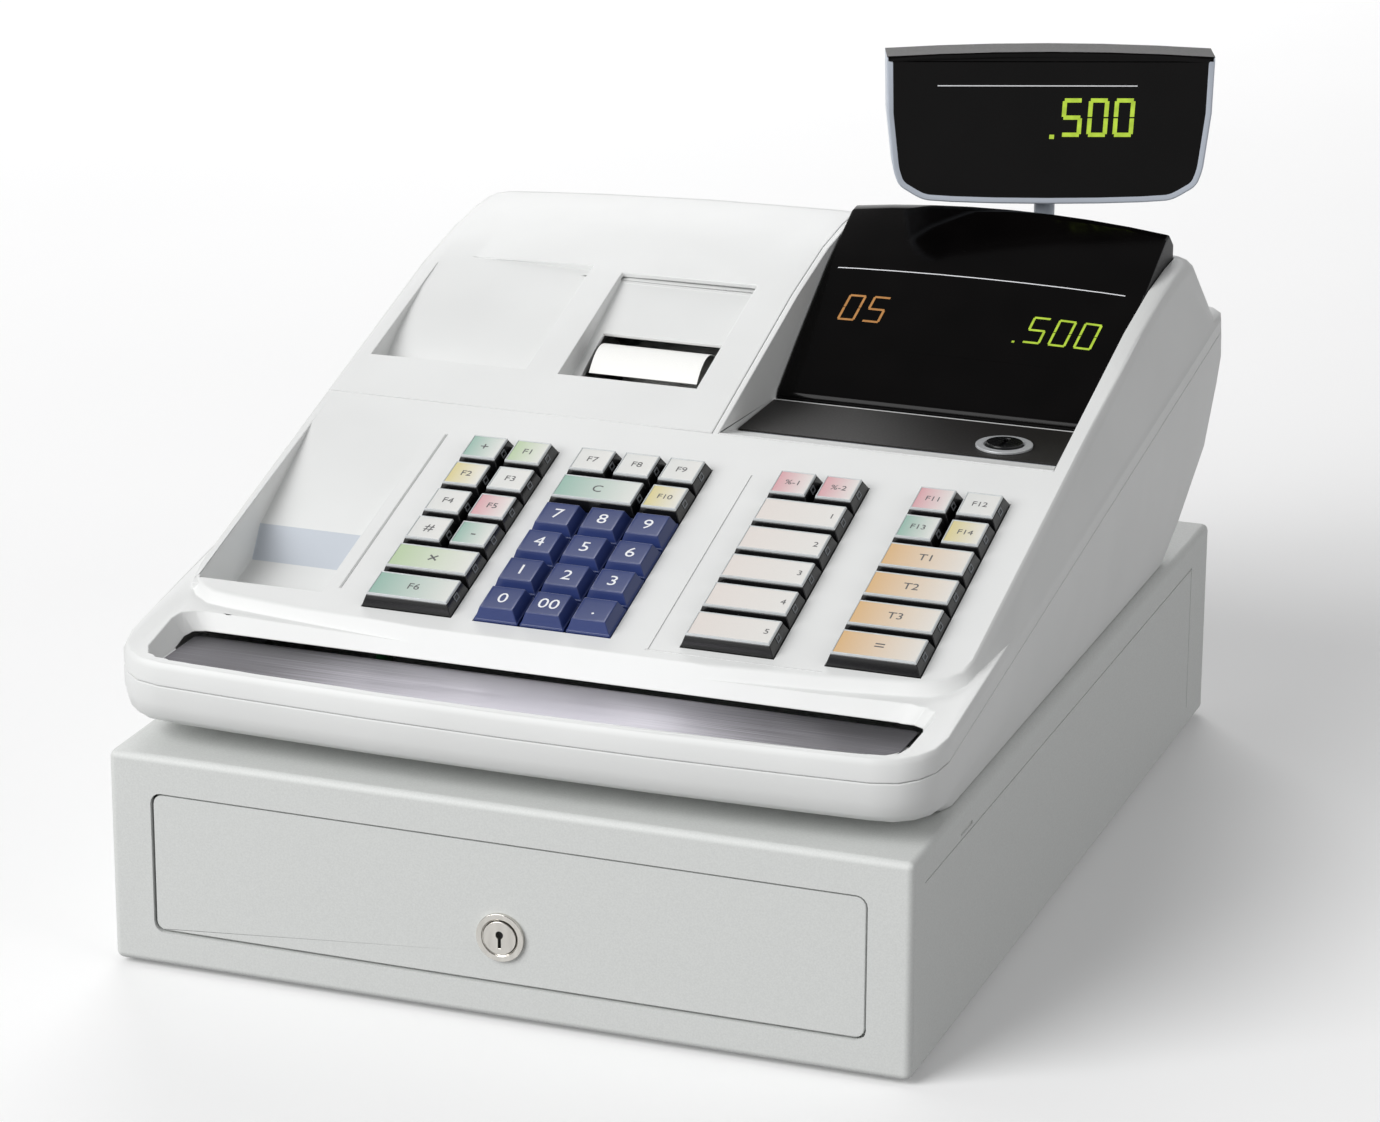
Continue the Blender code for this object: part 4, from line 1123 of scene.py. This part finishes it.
class RegisterColours(bpy.types.PropertyGroup):
    case: bpy.props.FloatVectorProperty(
        name="Case", description="Colour of the moulded case", default=srgb("E2E3E2"), size=3,
        subtype="COLOR", min=0.0, max=1.0)
    cabinet: bpy.props.FloatVectorProperty(
        name="Cabinet", description="Colour of the drawer cabinet's paint",
        default=srgb("D5D7D5"), size=3, subtype="COLOR", min=0.0, max=1.0)
    figure_keys: bpy.props.FloatVectorProperty(
        name="Figure Keys", description="Colour of the figure keys", default=srgb("27376D"),
        size=3, subtype="COLOR", min=0.0, max=1.0)
    amounts: bpy.props.FloatVectorProperty(
        name="Amounts", description="Colour of the lit amounts", default=srgb("BFE03A"), size=3,
        subtype="COLOR", min=0.0, max=1.0)


class RegisterCaseSettings(bpy.types.PropertyGroup):
    edge_radius: bpy.props.FloatProperty(
        name="Edge Radius", description="Rounding of the case's moulded edges",
        default=0.5 * MM, min=0.0, subtype="DISTANCE", unit="LENGTH")
    groove_width: bpy.props.FloatProperty(
        name="Groove Width", description="Width of the lines between the groups of keys",
        default=0.7 * MM, min=0.0, subtype="DISTANCE", unit="LENGTH")
    groove_depth: bpy.props.FloatProperty(
        name="Groove Depth", description="Depth of the lines between the groups of keys",
        default=0.4 * MM, min=0.0, subtype="DISTANCE", unit="LENGTH")


class RegisterStageSettings(bpy.types.PropertyGroup):
    floor_size: bpy.props.FloatProperty(
        name="Floor Size", description="Side of the square floor", default=30.0,
        subtype="DISTANCE", unit="LENGTH")
    main_power: bpy.props.FloatProperty(
        name="Main Light", description="Power of the light at the front left", default=320.0,
        unit="POWER")
    right_power: bpy.props.FloatProperty(
        name="Right Light", description="Power of the light at the right", default=10.0,
        unit="POWER")
    rear_power: bpy.props.FloatProperty(
        name="Rear Light", description="Power of the light behind the register", default=30.0,
        unit="POWER")
    room_brightness: bpy.props.FloatProperty(
        name="Room", description="Strength of the light from all round", default=0.3, min=0.0)
    camera_place: bpy.props.FloatVectorProperty(
        name="Camera", description="Where the camera stands", default=(0.6543, -1.7813, 0.7612),
        subtype="TRANSLATION", unit="LENGTH")
    camera_azimuth: bpy.props.FloatProperty(
        name="Azimuth", description="Turn of the camera to the right of the front",
        default=math.radians(20.28), subtype="ANGLE")
    camera_elevation: bpy.props.FloatProperty(
        name="Elevation", description="How far the camera looks down",
        default=math.radians(18.70), subtype="ANGLE")
    camera_roll: bpy.props.FloatProperty(
        name="Roll", description="Turn of the camera about its own axis",
        default=math.radians(0.249), subtype="ANGLE")
    lens: bpy.props.FloatProperty(
        name="Lens", description="Focal length in millimetres", default=125.4)


OPERATORS = (REGISTER_OT_cabinet, REGISTER_OT_case, REGISTER_OT_printer, REGISTER_OT_keys,
             REGISTER_OT_operator_display, REGISTER_OT_customer_display, REGISTER_OT_stage)


class REGISTER_PT_panel(bpy.types.Panel):
    """Lists the steps that build the register"""

    bl_label = "Cash Register"
    bl_idname = "REGISTER_PT_panel"
    bl_space_type = "VIEW_3D"
    bl_region_type = "UI"
    bl_category = "Register"

    def draw(self, context):
        scene = context.scene
        for settings in (scene.register_colours, scene.register_case, scene.register_stage):
            for name in settings.__annotations__:
                self.layout.prop(settings, name)
        for operator in OPERATORS:
            self.layout.operator(operator.bl_idname)


CLASSES = (RegisterColours, RegisterCaseSettings, RegisterStageSettings, *OPERATORS,
           REGISTER_PT_panel)


def register():
    for cls in CLASSES:
        bpy.utils.register_class(cls)
    bpy.types.Scene.register_colours = bpy.props.PointerProperty(type=RegisterColours)
    bpy.types.Scene.register_case = bpy.props.PointerProperty(type=RegisterCaseSettings)
    bpy.types.Scene.register_stage = bpy.props.PointerProperty(type=RegisterStageSettings)


def unregister():
    del bpy.types.Scene.register_stage
    del bpy.types.Scene.register_case
    del bpy.types.Scene.register_colours
    for cls in reversed(CLASSES):
        bpy.utils.unregister_class(cls)


def main():
    register()
    for operator in OPERATORS:
        category, name = operator.bl_idname.split(".")
        getattr(getattr(bpy.ops, category), name)()


if __name__ == "__main__":
    main()
